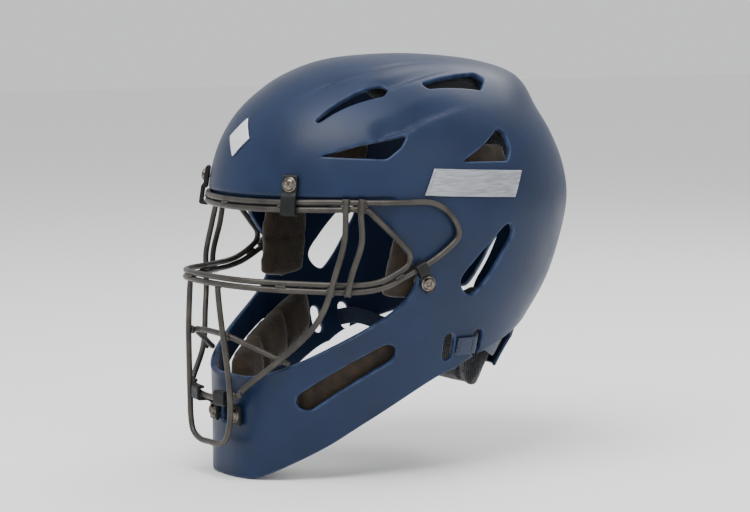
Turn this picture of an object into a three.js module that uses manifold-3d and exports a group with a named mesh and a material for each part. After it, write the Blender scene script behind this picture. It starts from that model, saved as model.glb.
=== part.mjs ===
// A catcher's helmet-mask: a moulded shell with a welded wire cage, clipped on in front,
// soft pads inside and a sprung back plate hung on straps behind.
// Millimetres, +Z up. The face looks along -Y and the wearer's left is +X.
// Z = 0 is the brow edge and the origin is the centre of the head inside.
import * as THREE from 'three';
import { mergeVertices } from 'three/addons/utils/BufferGeometryUtils.js';
import Module from 'manifold-3d';

const wasm = await Module();
wasm.setup();

// ---- Driving dimensions -------------------------------------------------------------
const WALL = 4;              // shell wall
const PLATE_OUT = -9.3;      // back plate, outer face, measured in from the shell's outer face
const PLATE_WALL = 3;
const WING_OUT = 9;          // how far the wings stand out past the tongue
const WIRE = 4.2;            // cage wire diameter
const WIRE_OFF = 2.9;        // wire centre above the shell's outer face
const BROW_STEP = 2.6;       // depth of the step along the brow that the brow bar lies in
const BROW_OFF = 0.2;        // wire centre above the outer face, in the step
const PAD_OUT = -7.6;        // pads start this far in from the shell's outer face
const SCREW = 1.9;           // screw shank radius
const BOLT_HOLE = 3.6;       // hole in the shell for the T-nut's barrel

// Horizontal sections of the shell, from the crown down: height, foremost y, rearmost y,
// half width, y of the widest point, squareness of the front half and of the rear half.
const SECTIONS = [
  [105.5, 5, 5, 0, 5, 2, 2],
  [103.8, -34, 40, 24, 5, 2, 2.1],
  [99.8, -57, 69, 45, 5, 2, 2.2],
  [92.5, -77, 92, 62, 4, 2, 2.3],
  [83, -94, 102, 76, 3, 2, 2.3],
  [67, -113, 109.5, 91, 2, 2, 2.2],
  [48, -125.5, 121.5, 102, 1, 2.05, 2.15],
  [25, -133, 133, 108, 0, 2.1, 2.1],
  [0, -136, 137, 110, 0, 2.1, 2.1],
  [-30, -137, 130.5, 107, 0, 2.1, 2.1],
  [-60, -137, 118, 102, 0, 2.15, 2.1],
  [-90, -137, 97, 93, 0, 2.25, 2.1],
  [-120, -137, 75, 84, 0, 2.4, 2.1],
  [-155, -137, 60, 74, 0, 2.6, 2.1],
  [-192, -139, 50, 62, 0, 2.7, 2.1],
];
const LAST = SECTIONS.length - 1;

// Outlines seen from the side, as [y, z].
const FACE_OPENING = [
  [-200, 0], [-136, 0], [-112, 1], [-94, 4], [-85, 6.5], [-79, 5], [-71, -5], [-56, -24],
  [-45, -38], [-42, -45], [-43, -54], [-51, -66], [-62, -76], [-83, -89], [-110, -105],
  [-126, -114], [-134, -118], [-200, -118],
];
const LOWER_EDGE = [
  [-200, -190], [-131, -190], [-119, -183], [-103, -174], [-87, -165], [-54, -144], [-36, -133],
  [-24, -126], [-4, -116], [14, -108], [42, -99], [63, -92], [82, -85], [96, -76], [160, -70],
  [160, -260], [-200, -260],
];
const EAR_HOLE = [
  [35, -13], [37, -20], [27, -34], [18, -48], [6, -61], [0, -62], [-7, -55], [-8, -48],
  [6, -33], [20, -20], [29, -12],
];
const SIDE_VENTS = [
  [[-101, 38], [-79, 45.5], [-46, 52], [-52, 44], [-63, 36]],
  [[-8, 33], [12, 44], [28, 55], [33, 53], [36, 40], [32, 32]],
];
const JAW_VENT = { from: [-106, -133], to: [-57, -101], half: 7 };
const STRAP_SLOTS = [[-9, -99], [16, -97.5]];
// Outlines seen from above, as [x, y], for the two vents in each side of the crown.
const CROWN_VENTS = [
  [[54, -97], [57, -95], [70, -50], [66, -43], [60, -48]],
  [[70, -19], [75, -16], [77, 28], [66, 38], [60, 34]],
];
const REAR_ARCH = { half: 38, top: -15 };
const BROW_CLIP = { x: 56.5, z: 18 };
const SIDE_CLIP = { y: -35.5, z: -50 };
const CHIN_CLIP = { x: 14.5, z: -146 };
const CHIN_VENT = [[-7, -153], [7, -153], [7, -141], [-7, -141]];   // x and z

// ---- The shell's outer surface ----------------------------------------------------------
function sectionRow(k) {
  if (k < 0) {
    const [z, y] = SECTIONS[0];
    const [z1, f, r, w, ...rest] = SECTIONS[1];
    return [z1, 2 * y - f, 2 * y - r, -w, ...rest];
  }
  if (k > LAST) return SECTIONS[LAST].map((v, i) => 2 * v - SECTIONS[LAST - 1][i]);
  return SECTIONS[k];
}

/** The section at t, counted in rows from the crown, smooth between the rows. */
function section(t) {
  const i = Math.min(Math.floor(t), LAST - 1);
  const f = t - i;
  const [a, b, c, d] = [i - 1, i, i + 1, i + 2].map(sectionRow);
  return b.map((_, k) => 0.5 * (2 * b[k] + (c[k] - a[k]) * f
    + (2 * a[k] - 5 * b[k] + 4 * c[k] - d[k]) * f * f
    + (3 * b[k] - a[k] - 3 * c[k] + d[k]) * f ** 3));
}

/** A point of the outer surface. phi is 0 in front, +90 degrees on the wearer's left. */
function surface(t, phi) {
  const [z, front, rear, half, mid, nf, nr] = section(t);
  const c = Math.cos(phi);
  const s = Math.sin(phi);
  const n = c > 0 ? nf : nr;
  const reach = c > 0 ? front - mid : rear - mid;
  return new THREE.Vector3(
    half * Math.sign(s) * Math.abs(s) ** (2 / n), mid + reach * Math.abs(c) ** (2 / n), z);
}

function normalAt(t, phi) {
  const e = 1e-3;
  const t0 = Math.max(t - e, 0);
  const alongT = surface(t + e, phi).sub(surface(t0, phi));
  const alongPhi = surface(t, phi + e).sub(surface(t, phi - e));
  const n = alongT.cross(alongPhi).normalize();
  const out = surface(t, phi).sub(new THREE.Vector3(0, 0, -20));
  return n.dot(out) < 0 ? n.negate() : n;
}

function raised(t, phi, off) {
  return surface(t, phi).addScaledVector(normalAt(t, phi), off);
}

function bisect(low, high, isLow) {
  for (let i = 0; i < 40; i += 1) {
    const mid = (low + high) / 2;
    if (isLow(mid)) low = mid; else high = mid;
  }
  return (low + high) / 2;
}

const rowAt = (z) => bisect(0.001, LAST, (t) => section(t)[0] > z);

/** The surface point at a side (s = +1 is the wearer's left) with this y and z. */
function onSide(s, y, z, off) {
  const t = rowAt(z);
  return raised(t, s * bisect(0, Math.PI, (a) => surface(t, a).y < y), off);
}

const onFront = (x, z, off) => onHalf(x, z, off, 0, Math.PI / 2);
const onRear = (x, z, off) => onHalf(x, z, off, Math.PI, Math.PI / 2);
function onHalf(x, z, off, centre, edge) {
  const t = rowAt(z);
  const angle = bisect(centre, edge, (a) => surface(t, a).x < Math.abs(x));
  return raised(t, x ? Math.sign(x) * angle : centre, off);
}

/** The surface point straight above x, y. */
function onTop(x, y, off) {
  const t = bisect(0.001, LAST / 2, (row) => {
    const [, front, rear, half, mid, nf, nr] = section(row);
    const ahead = y < mid;
    const n = ahead ? nf : nr;
    return Math.abs(x / half) ** n + Math.abs((y - mid) / ((ahead ? front : rear) - mid)) ** n > 1;
  });
  const [, front, rear, half, mid, nf, nr] = section(t);
  const ahead = y < mid;
  const n = ahead ? nf : nr;
  const c = Math.abs((y - mid) / ((ahead ? front : rear) - mid)) ** (n / 2);
  const s = Math.abs(x / half) ** (n / 2);
  return raised(t, Math.sign(x || 1) * Math.atan2(s, ahead ? c : -c), off);
}

// ---- Solids -------------------------------------------------------------------------------
/** A geometry from points and quads or triangles, turned so that its faces point out. */
function closedGeometry(points, faces) {
  const index = [];
  for (const [a, b, c, d] of faces) {
    index.push(a, b, c);
    if (d !== undefined) index.push(a, c, d);
  }
  let volume = 0;
  for (let i = 0; i < index.length; i += 3) {
    const [a, b, c] = [points[index[i]], points[index[i + 1]], points[index[i + 2]]];
    volume += a.dot(b.clone().cross(c));
  }
  if (volume < 0) index.reverse();
  const geometry = new THREE.BufferGeometry();
  geometry.setAttribute('position',
    new THREE.Float32BufferAttribute(points.flatMap((p) => [p.x, p.y, p.z]), 3));
  geometry.setIndex(index);
  return geometry;
}

/**
 * A closed solid through layers of a surface patch. f(u, v, off) maps u and v, both from
 * -1 to 1, and an offset. Each layer is [offset, size], with size 1 for the full patch.
 */
function slab(f, nu, nv, layers, round = 0) {
  const points = [];
  const faces = [];
  const id = (k, i, j) => (k * (nv + 1) + j) * (nu + 1) + i;
  layers.forEach(([off, size]) => {
    for (let j = 0; j <= nv; j += 1) {
      for (let i = 0; i <= nu; i += 1) {
        const u = (2 * i) / nu - 1;
        const v = (2 * j) / nv - 1;
        points.push(f(size * u * (1 - round * v * v), size * v * (1 - round * u * u), off));
      }
    }
  });
  const top = layers.length - 1;
  for (let j = 0; j < nv; j += 1) {
    for (let i = 0; i < nu; i += 1) {
      faces.push([id(0, i, j + 1), id(0, i + 1, j + 1), id(0, i + 1, j), id(0, i, j)]);
      faces.push([id(top, i, j), id(top, i + 1, j), id(top, i + 1, j + 1), id(top, i, j + 1)]);
    }
  }
  const rim = [];
  for (let i = 0; i < nu; i += 1) rim.push([i, 0]);
  for (let j = 0; j < nv; j += 1) rim.push([nu, j]);
  for (let i = nu; i > 0; i -= 1) rim.push([i, nv]);
  for (let j = nv; j > 0; j -= 1) rim.push([0, j]);
  for (let k = 0; k < top; k += 1) {
    rim.forEach(([i, j], n) => {
      const [p, q] = rim[(n + 1) % rim.length];
      faces.push([id(k, i, j), id(k, p, q), id(k + 1, p, q), id(k + 1, i, j)]);
    });
  }
  return closedGeometry(points, faces);
}

function toSolid(geometry) {
  const bare = geometry.clone();
  bare.deleteAttribute('normal');
  bare.deleteAttribute('uv');
  const merged = mergeVertices(bare, 1e-4);
  return new wasm.Manifold(new wasm.Mesh({
    numProp: 3,
    vertProperties: merged.attributes.position.array,
    triVerts: new Uint32Array(merged.index.array),
  }));
}

function toGeometry(solid) {
  const mesh = solid.getMesh();
  const geometry = new THREE.BufferGeometry();
  geometry.setAttribute('position', new THREE.Float32BufferAttribute(mesh.vertProperties, 3));
  geometry.setIndex(Array.from(mesh.triVerts));
  return geometry;
}

function cut(geometry, cutters) {
  let solid = toSolid(geometry);
  for (const cutter of cutters) solid = solid.subtract(toSolid(cutter));
  return toGeometry(solid);
}

const outline = (points) => new THREE.Shape(points.map(([a, b]) => new THREE.Vector2(a, b)));

/** A prism with an outline in x and y, or drawn in y and z and run along X, and so on. */
function prism(points, from, to, plane = 'xy') {
  const geometry = new THREE.ExtrudeGeometry(outline(points),
    { depth: to - from, bevelEnabled: false });
  geometry.translate(0, 0, from);
  const turn = { xy: [[1, 0, 0], [0, 1, 0], [0, 0, 1]], yz: [[0, 1, 0], [0, 0, 1], [1, 0, 0]],
    xz: [[1, 0, 0], [0, 0, 1], [0, -1, 0]] }[plane].map((v) => new THREE.Vector3(...v));
  return geometry.applyMatrix4(new THREE.Matrix4().makeBasis(...turn));
}

/** A slot with round ends between two points. */
function slotOutline([ax, ay], [bx, by], half, steps = 5) {
  const along = Math.atan2(by - ay, bx - ax);
  const points = [];
  for (const [x, y, start] of [[bx, by, -Math.PI / 2], [ax, ay, Math.PI / 2]]) {
    for (let i = 0; i <= steps; i += 1) {
      const a = along + start + (Math.PI * i) / steps;
      points.push([x + half * Math.cos(a), y + half * Math.sin(a)]);
    }
  }
  return points;
}

/** Rows of rings closed at both ends, the shell's outside or its inside. */
function loft(off, from, to, rows, columns) {
  const points = [];
  const faces = [];
  for (let j = 0; j <= rows; j += 1) {
    const t = from + ((to - from) * j) / rows;
    for (let i = 0; i < columns; i += 1) points.push(raised(t, (2 * Math.PI * i) / columns, off));
  }
  const top = points.push(new THREE.Vector3(0, 5, SECTIONS[0][0] + off)) - 1;
  const low = points.push(new THREE.Vector3(0, 0, points[rows * columns].z)) - 1;
  for (let i = 0; i < columns; i += 1) {
    const n = (i + 1) % columns;
    faces.push([top, i, n], [low, rows * columns + n, rows * columns + i]);
    for (let j = 0; j < rows; j += 1) {
      const [a, b] = [j * columns, (j + 1) * columns];
      faces.push([a + n, a + i, b + i, b + n]);
    }
  }
  return closedGeometry(points, faces);
}

/** A seat on the shell: x along the surface, y up it, z straight out. */
function seat(point, phiOut, up = new THREE.Vector3(0, 0, 1)) {
  const out = phiOut.clone().normalize();
  const across = up.clone().cross(out).normalize();
  return new THREE.Matrix4().makeBasis(across, out.clone().cross(across), out)
    .setPosition(point);
}

function sideSeat(s, y, z, up) {
  const base = onSide(s, y, z, 0);
  return seat(base, onSide(s, y, z, 10).sub(base), up);
}

function frontSeat(x, z, up) {
  const base = onFront(x, z, 0);
  return seat(base, onFront(x, z, 10).sub(base), up);
}

// ---- Materials ---------------------------------------------------------------------------
const finish = (color, roughness, metalness = 0) => new THREE.MeshStandardMaterial(
  { color, roughness, metalness });
const NAVY = finish(0x26355a, 0.42);
const STEEL = finish(0x6d6f73, 0.38, 0.85);
const CLIP = finish(0x202328, 0.55);
const SCREW_STEEL = finish(0xa8aaad, 0.3, 0.9);
const PAD = finish(0x1b1b1d, 0.9);
const PAD_BROWN = finish(0x5b4a34, 0.9);
const WEB = finish(0x17181c, 0.85);
const SILVER = finish(0xc9ccd2, 0.35, 0.3);

const mask = new THREE.Group();
function add(name, geometry, material, matrix) {
  const mesh = new THREE.Mesh(geometry, material);
  mesh.name = name;
  if (matrix) matrix.decompose(mesh.position, mesh.quaternion, mesh.scale);
  mask.add(mesh);
}
const SIDES = [['l', 1], ['r', -1]];

// ---- Front shell -----------------------------------------------------------------------------
// Where the six cage clips are bolted on: the seat and how far out the screw head sits.
const bolts = SIDES.flatMap(([side, s]) => [
  { name: `brow_${side}`, at: frontSeat(s * BROW_CLIP.x, BROW_CLIP.z), head: 4.4 },
  { name: `side_${side}`, head: 4.4,
    at: sideSeat(s, SIDE_CLIP.y, SIDE_CLIP.z, new THREE.Vector3(0, 0.49, -0.87)) },
  { name: `chin_${side}`, head: 4.1,
    at: frontSeat(s * CHIN_CLIP.x, CHIN_CLIP.z, new THREE.Vector3(0, 0, -1)) },
]);

function boltHole(radius, at, from, to) {
  const hole = new THREE.CylinderGeometry(radius, radius, to - from, 8);
  return hole.rotateX(Math.PI / 2).translate(0, 0, (from + to) / 2).applyMatrix4(at);
}

const archOutline = [[REAR_ARCH.half, -300], [REAR_ARCH.half, -55]];
for (let i = 0; i <= 10; i += 1) {
  const a = (Math.PI * i) / 10;
  archOutline.push([REAR_ARCH.half * Math.cos(a), REAR_ARCH.top - 40 + 40 * Math.sin(a)]);
}
archOutline.push([-REAR_ARCH.half, -300]);

/** A band along the brow edge, between two heights and two depths. */
function browBand(low, high, inner, outer) {
  const reach = 1.1;
  return slab((u, v, off) => raised(rowAt((low + high) / 2 + ((high - low) / 2) * v), reach * u,
    off), 18, 1, [[inner, 1], [outer, 1]]);
}

const walled = toSolid(loft(0, 0.45, LAST, 14, 40))
  .subtract(toSolid(loft(-WALL, 0.45, LAST + 0.4, 14, 40)))
  .add(toSolid(browBand(-20, 10.8, -WALL - BROW_STEP, -2)));
add('front_shell', cut(toGeometry(walled), [
  browBand(-22, 9.4, -BROW_STEP, 6),
  prism(FACE_OPENING, -200, 200, 'yz'),
  prism(LOWER_EDGE, -200, 200, 'yz'),
  prism(EAR_HOLE, -200, 200, 'yz'),
  ...SIDE_VENTS.map((vent) => prism(vent, -200, 200, 'yz')),
  prism(slotOutline(JAW_VENT.from, JAW_VENT.to, JAW_VENT.half), -200, 200, 'yz'),
  ...STRAP_SLOTS.map(([y, z]) => prism(slotOutline([y, z + 6], [y + 0.5, z - 6], 4.2, 3),
    -200, 200, 'yz')),
  ...CROWN_VENTS.flatMap((vent) => SIDES.map(([, s]) => prism(
    vent.map(([x, y]) => [s * x, y]), 60, 130))),
  prism(archOutline, -200, -20, 'xz'),
  prism(CHIN_VENT, 100, 160, 'xz'),
  ...bolts.map(({ at }) => boltHole(BOLT_HOLE, at, -12, 6)),
]), NAVY);

// ---- Cage ------------------------------------------------------------------------------------
const V = (x, y, z) => new THREE.Vector3(x, y, z);
const ringSection = (() => {
  const circle = new THREE.Shape();
  for (let i = 0; i < 8; i += 1) {
    const a = ((i + 0.5) * Math.PI) / 4;
    const p = [(WIRE / 2) * Math.cos(a), (WIRE / 2) * Math.sin(a)];
    if (i) circle.lineTo(...p); else circle.moveTo(...p);
  }
  return circle;
})();

/** A wire that is the same on both sides: centre point first, then the left half. */
function mirrored(centre, half) {
  return [...half.slice().reverse().map((p) => V(-p.x, p.y, p.z)), ...centre, ...half];
}

function openWire(name, points, steps) {
  const path = new THREE.CatmullRomCurve3(points, false, 'centripetal');
  add(name, new THREE.ExtrudeGeometry(ringSection,
    { steps, extrudePath: path, bevelEnabled: false }), STEEL);
}

function closedWire(name, points, steps) {
  const path = new THREE.CatmullRomCurve3(points, true, 'centripetal');
  add(name, new THREE.TubeGeometry(path, steps, WIRE / 2, 8, true), STEEL);
}

// Two long wires each make the brow bar, a loop at each side and the nose bar.
const browLine = (z0, z1) => [20, 40, 60, 78].map((x) => onFront(x, z0 + (z1 - z0) * (x / 95) ** 2,
  BROW_OFF));
closedWire('frame_wire_outer', mirrored([onFront(0, 5.5, BROW_OFF)], [
  ...browLine(5.5, 7.2),
  onSide(1, -82, 6.4, 0.7), onSide(1, -71, 6.3, 1.8), onSide(1, -58, 6.2, WIRE_OFF),
  onSide(1, -36, 5.6, WIRE_OFF), onSide(1, -25, 0, WIRE_OFF), onSide(1, -16, -11, WIRE_OFF),
  onSide(1, -15, -18, WIRE_OFF), onSide(1, -21, -25, WIRE_OFF), onSide(1, -36, -36, WIRE_OFF),
  V(101.6, -53, -45), V(99.6, -66, -51), V(95.5, -80, -54), V(89.3, -92.5, -54.6),
  V(82.5, -101.6, -54.6), V(74, -112.6, -54.2), V(58, -133, -53.2), V(40, -147.4, -52.2),
  V(20, -155, -51.5),
]).concat(V(0, -157, -51.2)), 76);
closedWire('frame_wire_inner', mirrored([onFront(0, 0.7, BROW_OFF)], [
  ...browLine(0.7, 1.9),
  onSide(1, -78, 1, 1), onSide(1, -73, -4, 2.4), V(103, -57, -22),
  V(103.8, -50.5, -30.5), V(103.2, -51.5, -36.5), V(101, -60, -42.6), V(98.6, -71, -47.6),
  V(94.6, -82, -49.6), V(88.6, -93, -49.9), V(82, -102, -49.8), V(73.4, -113, -49.4),
  V(57.6, -132.7, -48.5), V(40, -147, -47.6), V(20, -154.8, -46.8),
]).concat(V(0, -156.8, -46.5)), 70);

for (const [side, s] of SIDES) {
  const P = (x, y, z) => V(s * x, y, z);
  // Upright from the brow bar to the nose bar, behind the eye.
  openWire(`upright_wire_${side}`, [
    onSide(s, -81, 9, 5.3), onSide(s, -82, 0, 5.3), P(97.6, -86, -20),
    P(96, -93, -42), P(93.4, -95.4, -57)], 8);
  // Cheek wire from the brow bar, over the nose bar and down the cheek to the chin loop.
  openWire(`cheek_wire_${side}`, [
    onSide(s, -90, 9, 5), onSide(s, -90.5, 0, 5), P(91.6, -96.4, -20), P(90, -102.5, -42),
    P(86.4, -104.6, -55), P(82, -107, -67), P(74, -112.4, -81.5), P(52, -126.6, -105),
    P(38.4, -141, -121), P(34.6, -145.6, -126.4)], 22);
}

// Chin loop: hangs from the underside of the nose bar and turns under in front of the chin.
openWire('chin_loop_wire', mirrored([V(0, -151.4, -165.6)], [
  V(14, -151.4, -165.2), V(23.6, -151.2, -160.6), V(27.6, -150.8, -151), V(28.8, -150.6, -137),
  V(27.6, -151.8, -112), V(24.4, -153.8, -87), V(21.2, -154.8, -66), V(19.6, -155, -54.3)]), 40);
openWire('mid_cross_wire', mirrored([V(0, -150, -87)], [
  V(12, -149.8, -87.3), V(24.4, -148, -88.6), V(38, -134, -97), V(50, -121.8, -104.6),
  V(54, -117.6, -106.8)]), 20);
openWire('low_cross_wire', mirrored([V(0, -150.4, -133.5)], [
  V(10, -150, -133.3), V(19, -148.9, -132.4), V(28.4, -146, -130), V(31.6, -145.2, -129.2)]), 14);

// ---- Clips, screws and T-nuts ----------------------------------------------------------
/**
 * Clip profile as [away from the screw, out]: a foot, then a hook over the wires between
 * near and far, with its arm at one height and its lip reaching down to another.
 */
const clipOutline = (near, far, arm, low) => [
  [-7, 2], [-6, 0.9], [near, 0.9], [near, arm], [far, arm], [far, low], [far + 2, low],
  [far + 2, arm + 1.6], [far + 1, arm + 2.6], [near - 1, arm + 2.6], [near - 3.6, 4], [-6, 4],
  [-7, 3],
];

/** The chin clip stands further out, up to the low cross bar. */
const chinOutline = [
  [-7, 2], [-6, 1], [6.2, 1], [10.3, 9.5], [10.3, 15.8], [16.6, 15.8], [16.6, 12.4], [18.8, 12.4],
  [18.8, 16.8], [17.6, 18], [9.4, 18], [8, 16.6], [8, 10.4], [5, 3.7], [-6, 3.7],
  [-7, 3],
];

function hookClip(width, profile) {
  const clip = prism(profile.map(([along, out]) => [-along, out]), -width / 2, width / 2, 'yz');
  return cut(clip, [boltHole(2.6, new THREE.Matrix4(), -2, 10)]);
}

const nutProfile = [[2.4, -0.9], [2.4, -6.9], [6.5, -6.9], [6.5, -5.7], [3, -5.7], [3, -0.9],
  [2.4, -0.9]];
const screwProfile = (head) => [[0, -6], [SCREW, -6], [SCREW, head], [4.1, head],
  [4.1, head + 1], [3, head + 2], [0, head + 2.3]];
const lathe = (points) => new THREE.LatheGeometry(
  points.map(([r, h]) => new THREE.Vector2(r, h)), 8).rotateX(Math.PI / 2);

for (const { name, at, head } of bolts) {
  add(`screw_${name}`, lathe(screwProfile(head)), SCREW_STEEL, at);
  add(`t_nut_${name}`, lathe(nutProfile), SCREW_STEEL, at);
  const clip = {
    brow: () => hookClip(11, clipOutline(9.2, 19.4, 2.9, -1.4)),
    side: () => hookClip(8, clipOutline(9.9, 15.3, 6, 1.4)),
    chin: () => hookClip(12, chinOutline),
  }[name.split('_')[0]];
  add(`clip_${name}`, clip(), CLIP, at);
}
// ---- Back plate -------------------------------------------------------------------------
// A tongue under the shell's rear, with two wings below the shell's edge.
const lerp = (a, b, f) => a + (b - a) * f;
function plateHalf(z) {
  if (z > -84) return lerp(24, 28, (-6 - z) / 78);
  return lerp(28, 59, Math.min((-84 - z) / 17, 1) ** 1.6);
}
const smooth = (f) => f * f * (3 - 2 * f);
const ramp = (a, b, v) => smooth(Math.min(Math.max((v - a) / (b - a), 0), 1));
function plateSheet(u, v, off) {
  const z = -66 + (v > 0 ? v * 60 : v * 58);
  return onRear(u * plateHalf(z), z, off + WING_OUT * ramp(-72, -96, z));
}
add('back_plate', slab(plateSheet, 10, 12, [[PLATE_OUT, 1], [PLATE_OUT - PLATE_WALL, 0.985]]),
  NAVY);

// ---- Pads -----------------------------------------------------------------------------------
/** A cushion against the inside of the wall, with its edges drawn in. */
function cushion(name, f, nu, nv, thick, material, start = PAD_OUT) {
  add(name, slab(f, nu, nv, [[start, 0.94], [start - 0.4 * thick, 1], [start - thick, 0.86]],
    0.07), material);
}
const between = (a, b, u) => lerp(a, b, (u + 1) / 2);

cushion('brow_pad', (u, v, off) => onFront(86 * u, between(7, 38, v), off), 14, 3, 15,
  PAD);
cushion('crown_pad', (u, v, off) => onTop(between(-20, 20, u), between(-78, 70, v), off),
  4, 10, 15, PAD);
for (const [side, s] of SIDES) {
  cushion(`crown_side_pad_${side}`, (u, v, off) => onTop(s * between(27, 64, u),
    between(-52, 48, v), off), 4, 8, 14, PAD);
  cushion(`temple_pad_${side}`, (u, v, off) => onSide(s, between(-52, 44, u),
    between(14, 50, v), off), 8, 3, 14, PAD_BROWN);
  cushion(`ear_pad_${side}`, (u, v, off) => onSide(s, between(-60, -16, u) + 6 * v,
    between(-67, 4, v), off), 5, 6, 14, PAD_BROWN);
  cushion(`cheek_pad_${side}`, (u, v, off) => {
    const y = between(-116, -22, u);
    return onSide(s, y, lerp(-135, -89, (y + 116) / 94) + 18 * v, off);
  }, 8, 3, 18, PAD_BROWN);
  cushion(`rear_pad_${side}`, (u, v, off) => onRear(s * between(44, 88, u), between(-66, 20, v),
    off), 4, 7, 15, PAD);
}
cushion('rear_pad_top', (u, v, off) => onRear(40 * u, between(14, 56, v), off), 6, 4,
  15, PAD);
cushion('chin_pad', (u, v, off) => onFront(34 * u, between(-176, -130, v), off),
  8, 4, 15, PAD);
cushion('nape_pad', (u, v, off) => {
  const z = between(-144, -80, v);
  return onRear(u * lerp(54, 30, Math.max(0, (v + 0.1) / 1.1)), z,
    off + 7 * ramp(-72, -96, z));
}, 8, 5, 14, PAD, PLATE_OUT - PLATE_WALL - 1);

// ---- Straps ------------------------------------------------------------------------------------
for (const [side, s] of SIDES) {
  // Out between the two slots of the shell, back in and round to the plate's wing.
  add(`side_strap_${side}`, slab((u, v, off) => {
    const y = between(-3, 62, u);
    const inward = ramp(11.5, 22, y);
    const down = ramp(20, 60, y);
    return onSide(s, y, -98 - 12 * down + 6 * v, lerp(1.9, -6.1, inward) + off);
  }, 26, 1, [[-0.9, 1], [0.9, 1]]), WEB);
}
add('top_strap', slab((u, v, off) => onRear(9 * u, between(-32, 12, v), off),
  2, 6, [[-6.3, 1], [-8.4, 1]]), WEB);

// ---- Badges and emblem --------------------------------------------------------------------
for (const [side, s] of SIDES) {
  add(`side_badge_${side}`, slab((u, v, off) => onSide(s, between(-36, 39, u) + 4.2 * v,
    17.6 + 9.1 * v - 2 * u, off), 8, 2, [[0.8, 1], [2, 0.97]]), SILVER);
}
add('front_emblem', slab((u, v, off) => onFront(13 * (u - v) / 2,
  48 + 13 * (u + v) / 2, off), 3, 3, [[0.8, 1], [1.8, 0.94]]), SILVER);

export default mask;
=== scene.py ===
# %% [markdown]
# # A catcher's helmet-mask
#
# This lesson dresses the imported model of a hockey-style catcher's mask. The real thing is
# a moulded ABS helmet with a cage of bent, welded and powder-coated wire clipped on in
# front, foam pads sewn in cloth covers inside, and a small back plate that hangs on elastic
# straps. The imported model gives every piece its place. Here each piece gets a fine surface
# and a finish. Sizes are written in millimetres, and one number turns them to metres.

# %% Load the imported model
import math

import bmesh
import bpy
import numpy as np
from mathutils import Matrix, Vector
from mathutils.geometry import delaunay_2d_cdt
from mathutils.kdtree import KDTree


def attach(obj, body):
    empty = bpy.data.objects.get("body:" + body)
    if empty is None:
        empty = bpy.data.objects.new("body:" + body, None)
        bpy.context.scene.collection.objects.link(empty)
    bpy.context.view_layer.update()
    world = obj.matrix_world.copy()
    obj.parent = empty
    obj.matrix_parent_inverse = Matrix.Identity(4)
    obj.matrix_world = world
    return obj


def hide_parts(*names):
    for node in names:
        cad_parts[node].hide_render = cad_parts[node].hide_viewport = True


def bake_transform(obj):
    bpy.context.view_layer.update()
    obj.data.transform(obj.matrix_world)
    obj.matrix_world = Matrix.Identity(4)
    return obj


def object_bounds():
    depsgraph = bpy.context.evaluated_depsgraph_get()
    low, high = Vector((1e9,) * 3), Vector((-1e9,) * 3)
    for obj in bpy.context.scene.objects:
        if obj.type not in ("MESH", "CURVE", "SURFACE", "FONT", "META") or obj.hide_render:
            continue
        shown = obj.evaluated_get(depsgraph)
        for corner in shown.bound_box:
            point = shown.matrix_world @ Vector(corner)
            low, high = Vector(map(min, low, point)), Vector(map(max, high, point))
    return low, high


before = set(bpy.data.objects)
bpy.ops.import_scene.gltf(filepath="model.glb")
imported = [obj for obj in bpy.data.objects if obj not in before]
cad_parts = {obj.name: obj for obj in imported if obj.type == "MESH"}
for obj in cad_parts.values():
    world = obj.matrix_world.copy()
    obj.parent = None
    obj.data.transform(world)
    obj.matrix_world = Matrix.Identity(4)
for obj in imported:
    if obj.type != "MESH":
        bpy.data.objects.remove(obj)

MM = 0.001
cad_box = [list(corner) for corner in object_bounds()]

# %% [markdown]
# ## Camera, floor and light
#
# The mask is seen from the wearer's left front, a little above its middle, with a long
# lens, as in a catalogue. A long lens keeps the near side from looking too big. The floor
# is plain and pale, and large area lights give soft highlights that roll over the shell.

# %% Camera
AZIMUTH, ELEVATION = 57.0, 6.0
MIDDLE = Vector((0.0, -0.012, -0.042))
CAMERA_DISTANCE = 1.9       # metres


def direction(azimuth, elevation):
    """The unit vector from the object to a viewer at these angles."""
    a, e = math.radians(azimuth), math.radians(elevation)
    return Vector((math.sin(a) * math.cos(e), -math.cos(a) * math.cos(e), math.sin(e)))


def aim(obj, azimuth, elevation, distance):
    """Link an object that stands at these angles and looks at the middle of the mask."""
    way = direction(azimuth, elevation)
    obj.location = MIDDLE + way * distance
    obj.rotation_euler = (-way).to_track_quat("-Z", "Y").to_euler()
    bpy.context.scene.collection.objects.link(obj)


lens = bpy.data.cameras.new("camera")
lens.lens = 125
lens.sensor_width = 36
lens.clip_end = 20
camera = bpy.data.objects.new("camera", lens)
aim(camera, AZIMUTH, ELEVATION, CAMERA_DISTANCE)
bpy.context.scene.camera = camera

# %% One function for every material node
def add_node(tree, kind, settings=None, links=None):
    """Add a node, set its properties or sockets by name, and link sources into it."""
    node = tree.nodes.new(kind)
    for name, value in (settings or {}).items():
        if isinstance(name, str) and hasattr(node, name):
            setattr(node, name, value)
        else:
            node.inputs[name].default_value = value
    plug(tree, node, links or {})
    return node


def plug(tree, node, links):
    """Link outputs into a node's sockets by name."""
    for name, source in links.items():
        tree.links.new(source, node.inputs[name])


def maths(tree, operation, *terms):
    """The output of a maths node. Each term is a number or another node's output."""
    node = add_node(tree, "ShaderNodeMath", {"operation": operation})
    for socket, term in zip(node.inputs, terms):
        if isinstance(term, (int, float)):
            socket.default_value = term
        else:
            tree.links.new(term, socket)
    return node.outputs[0]


def linear(code, alpha=1.0):
    """Turn an sRGB hex colour to the linear values that Blender works in."""
    parts = [int(code[i:i + 2], 16) / 255 for i in (1, 3, 5)]
    return [c / 12.92 if c <= 0.04045 else ((c + 0.055) / 1.055) ** 2.4 for c in parts] + [alpha]


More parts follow.
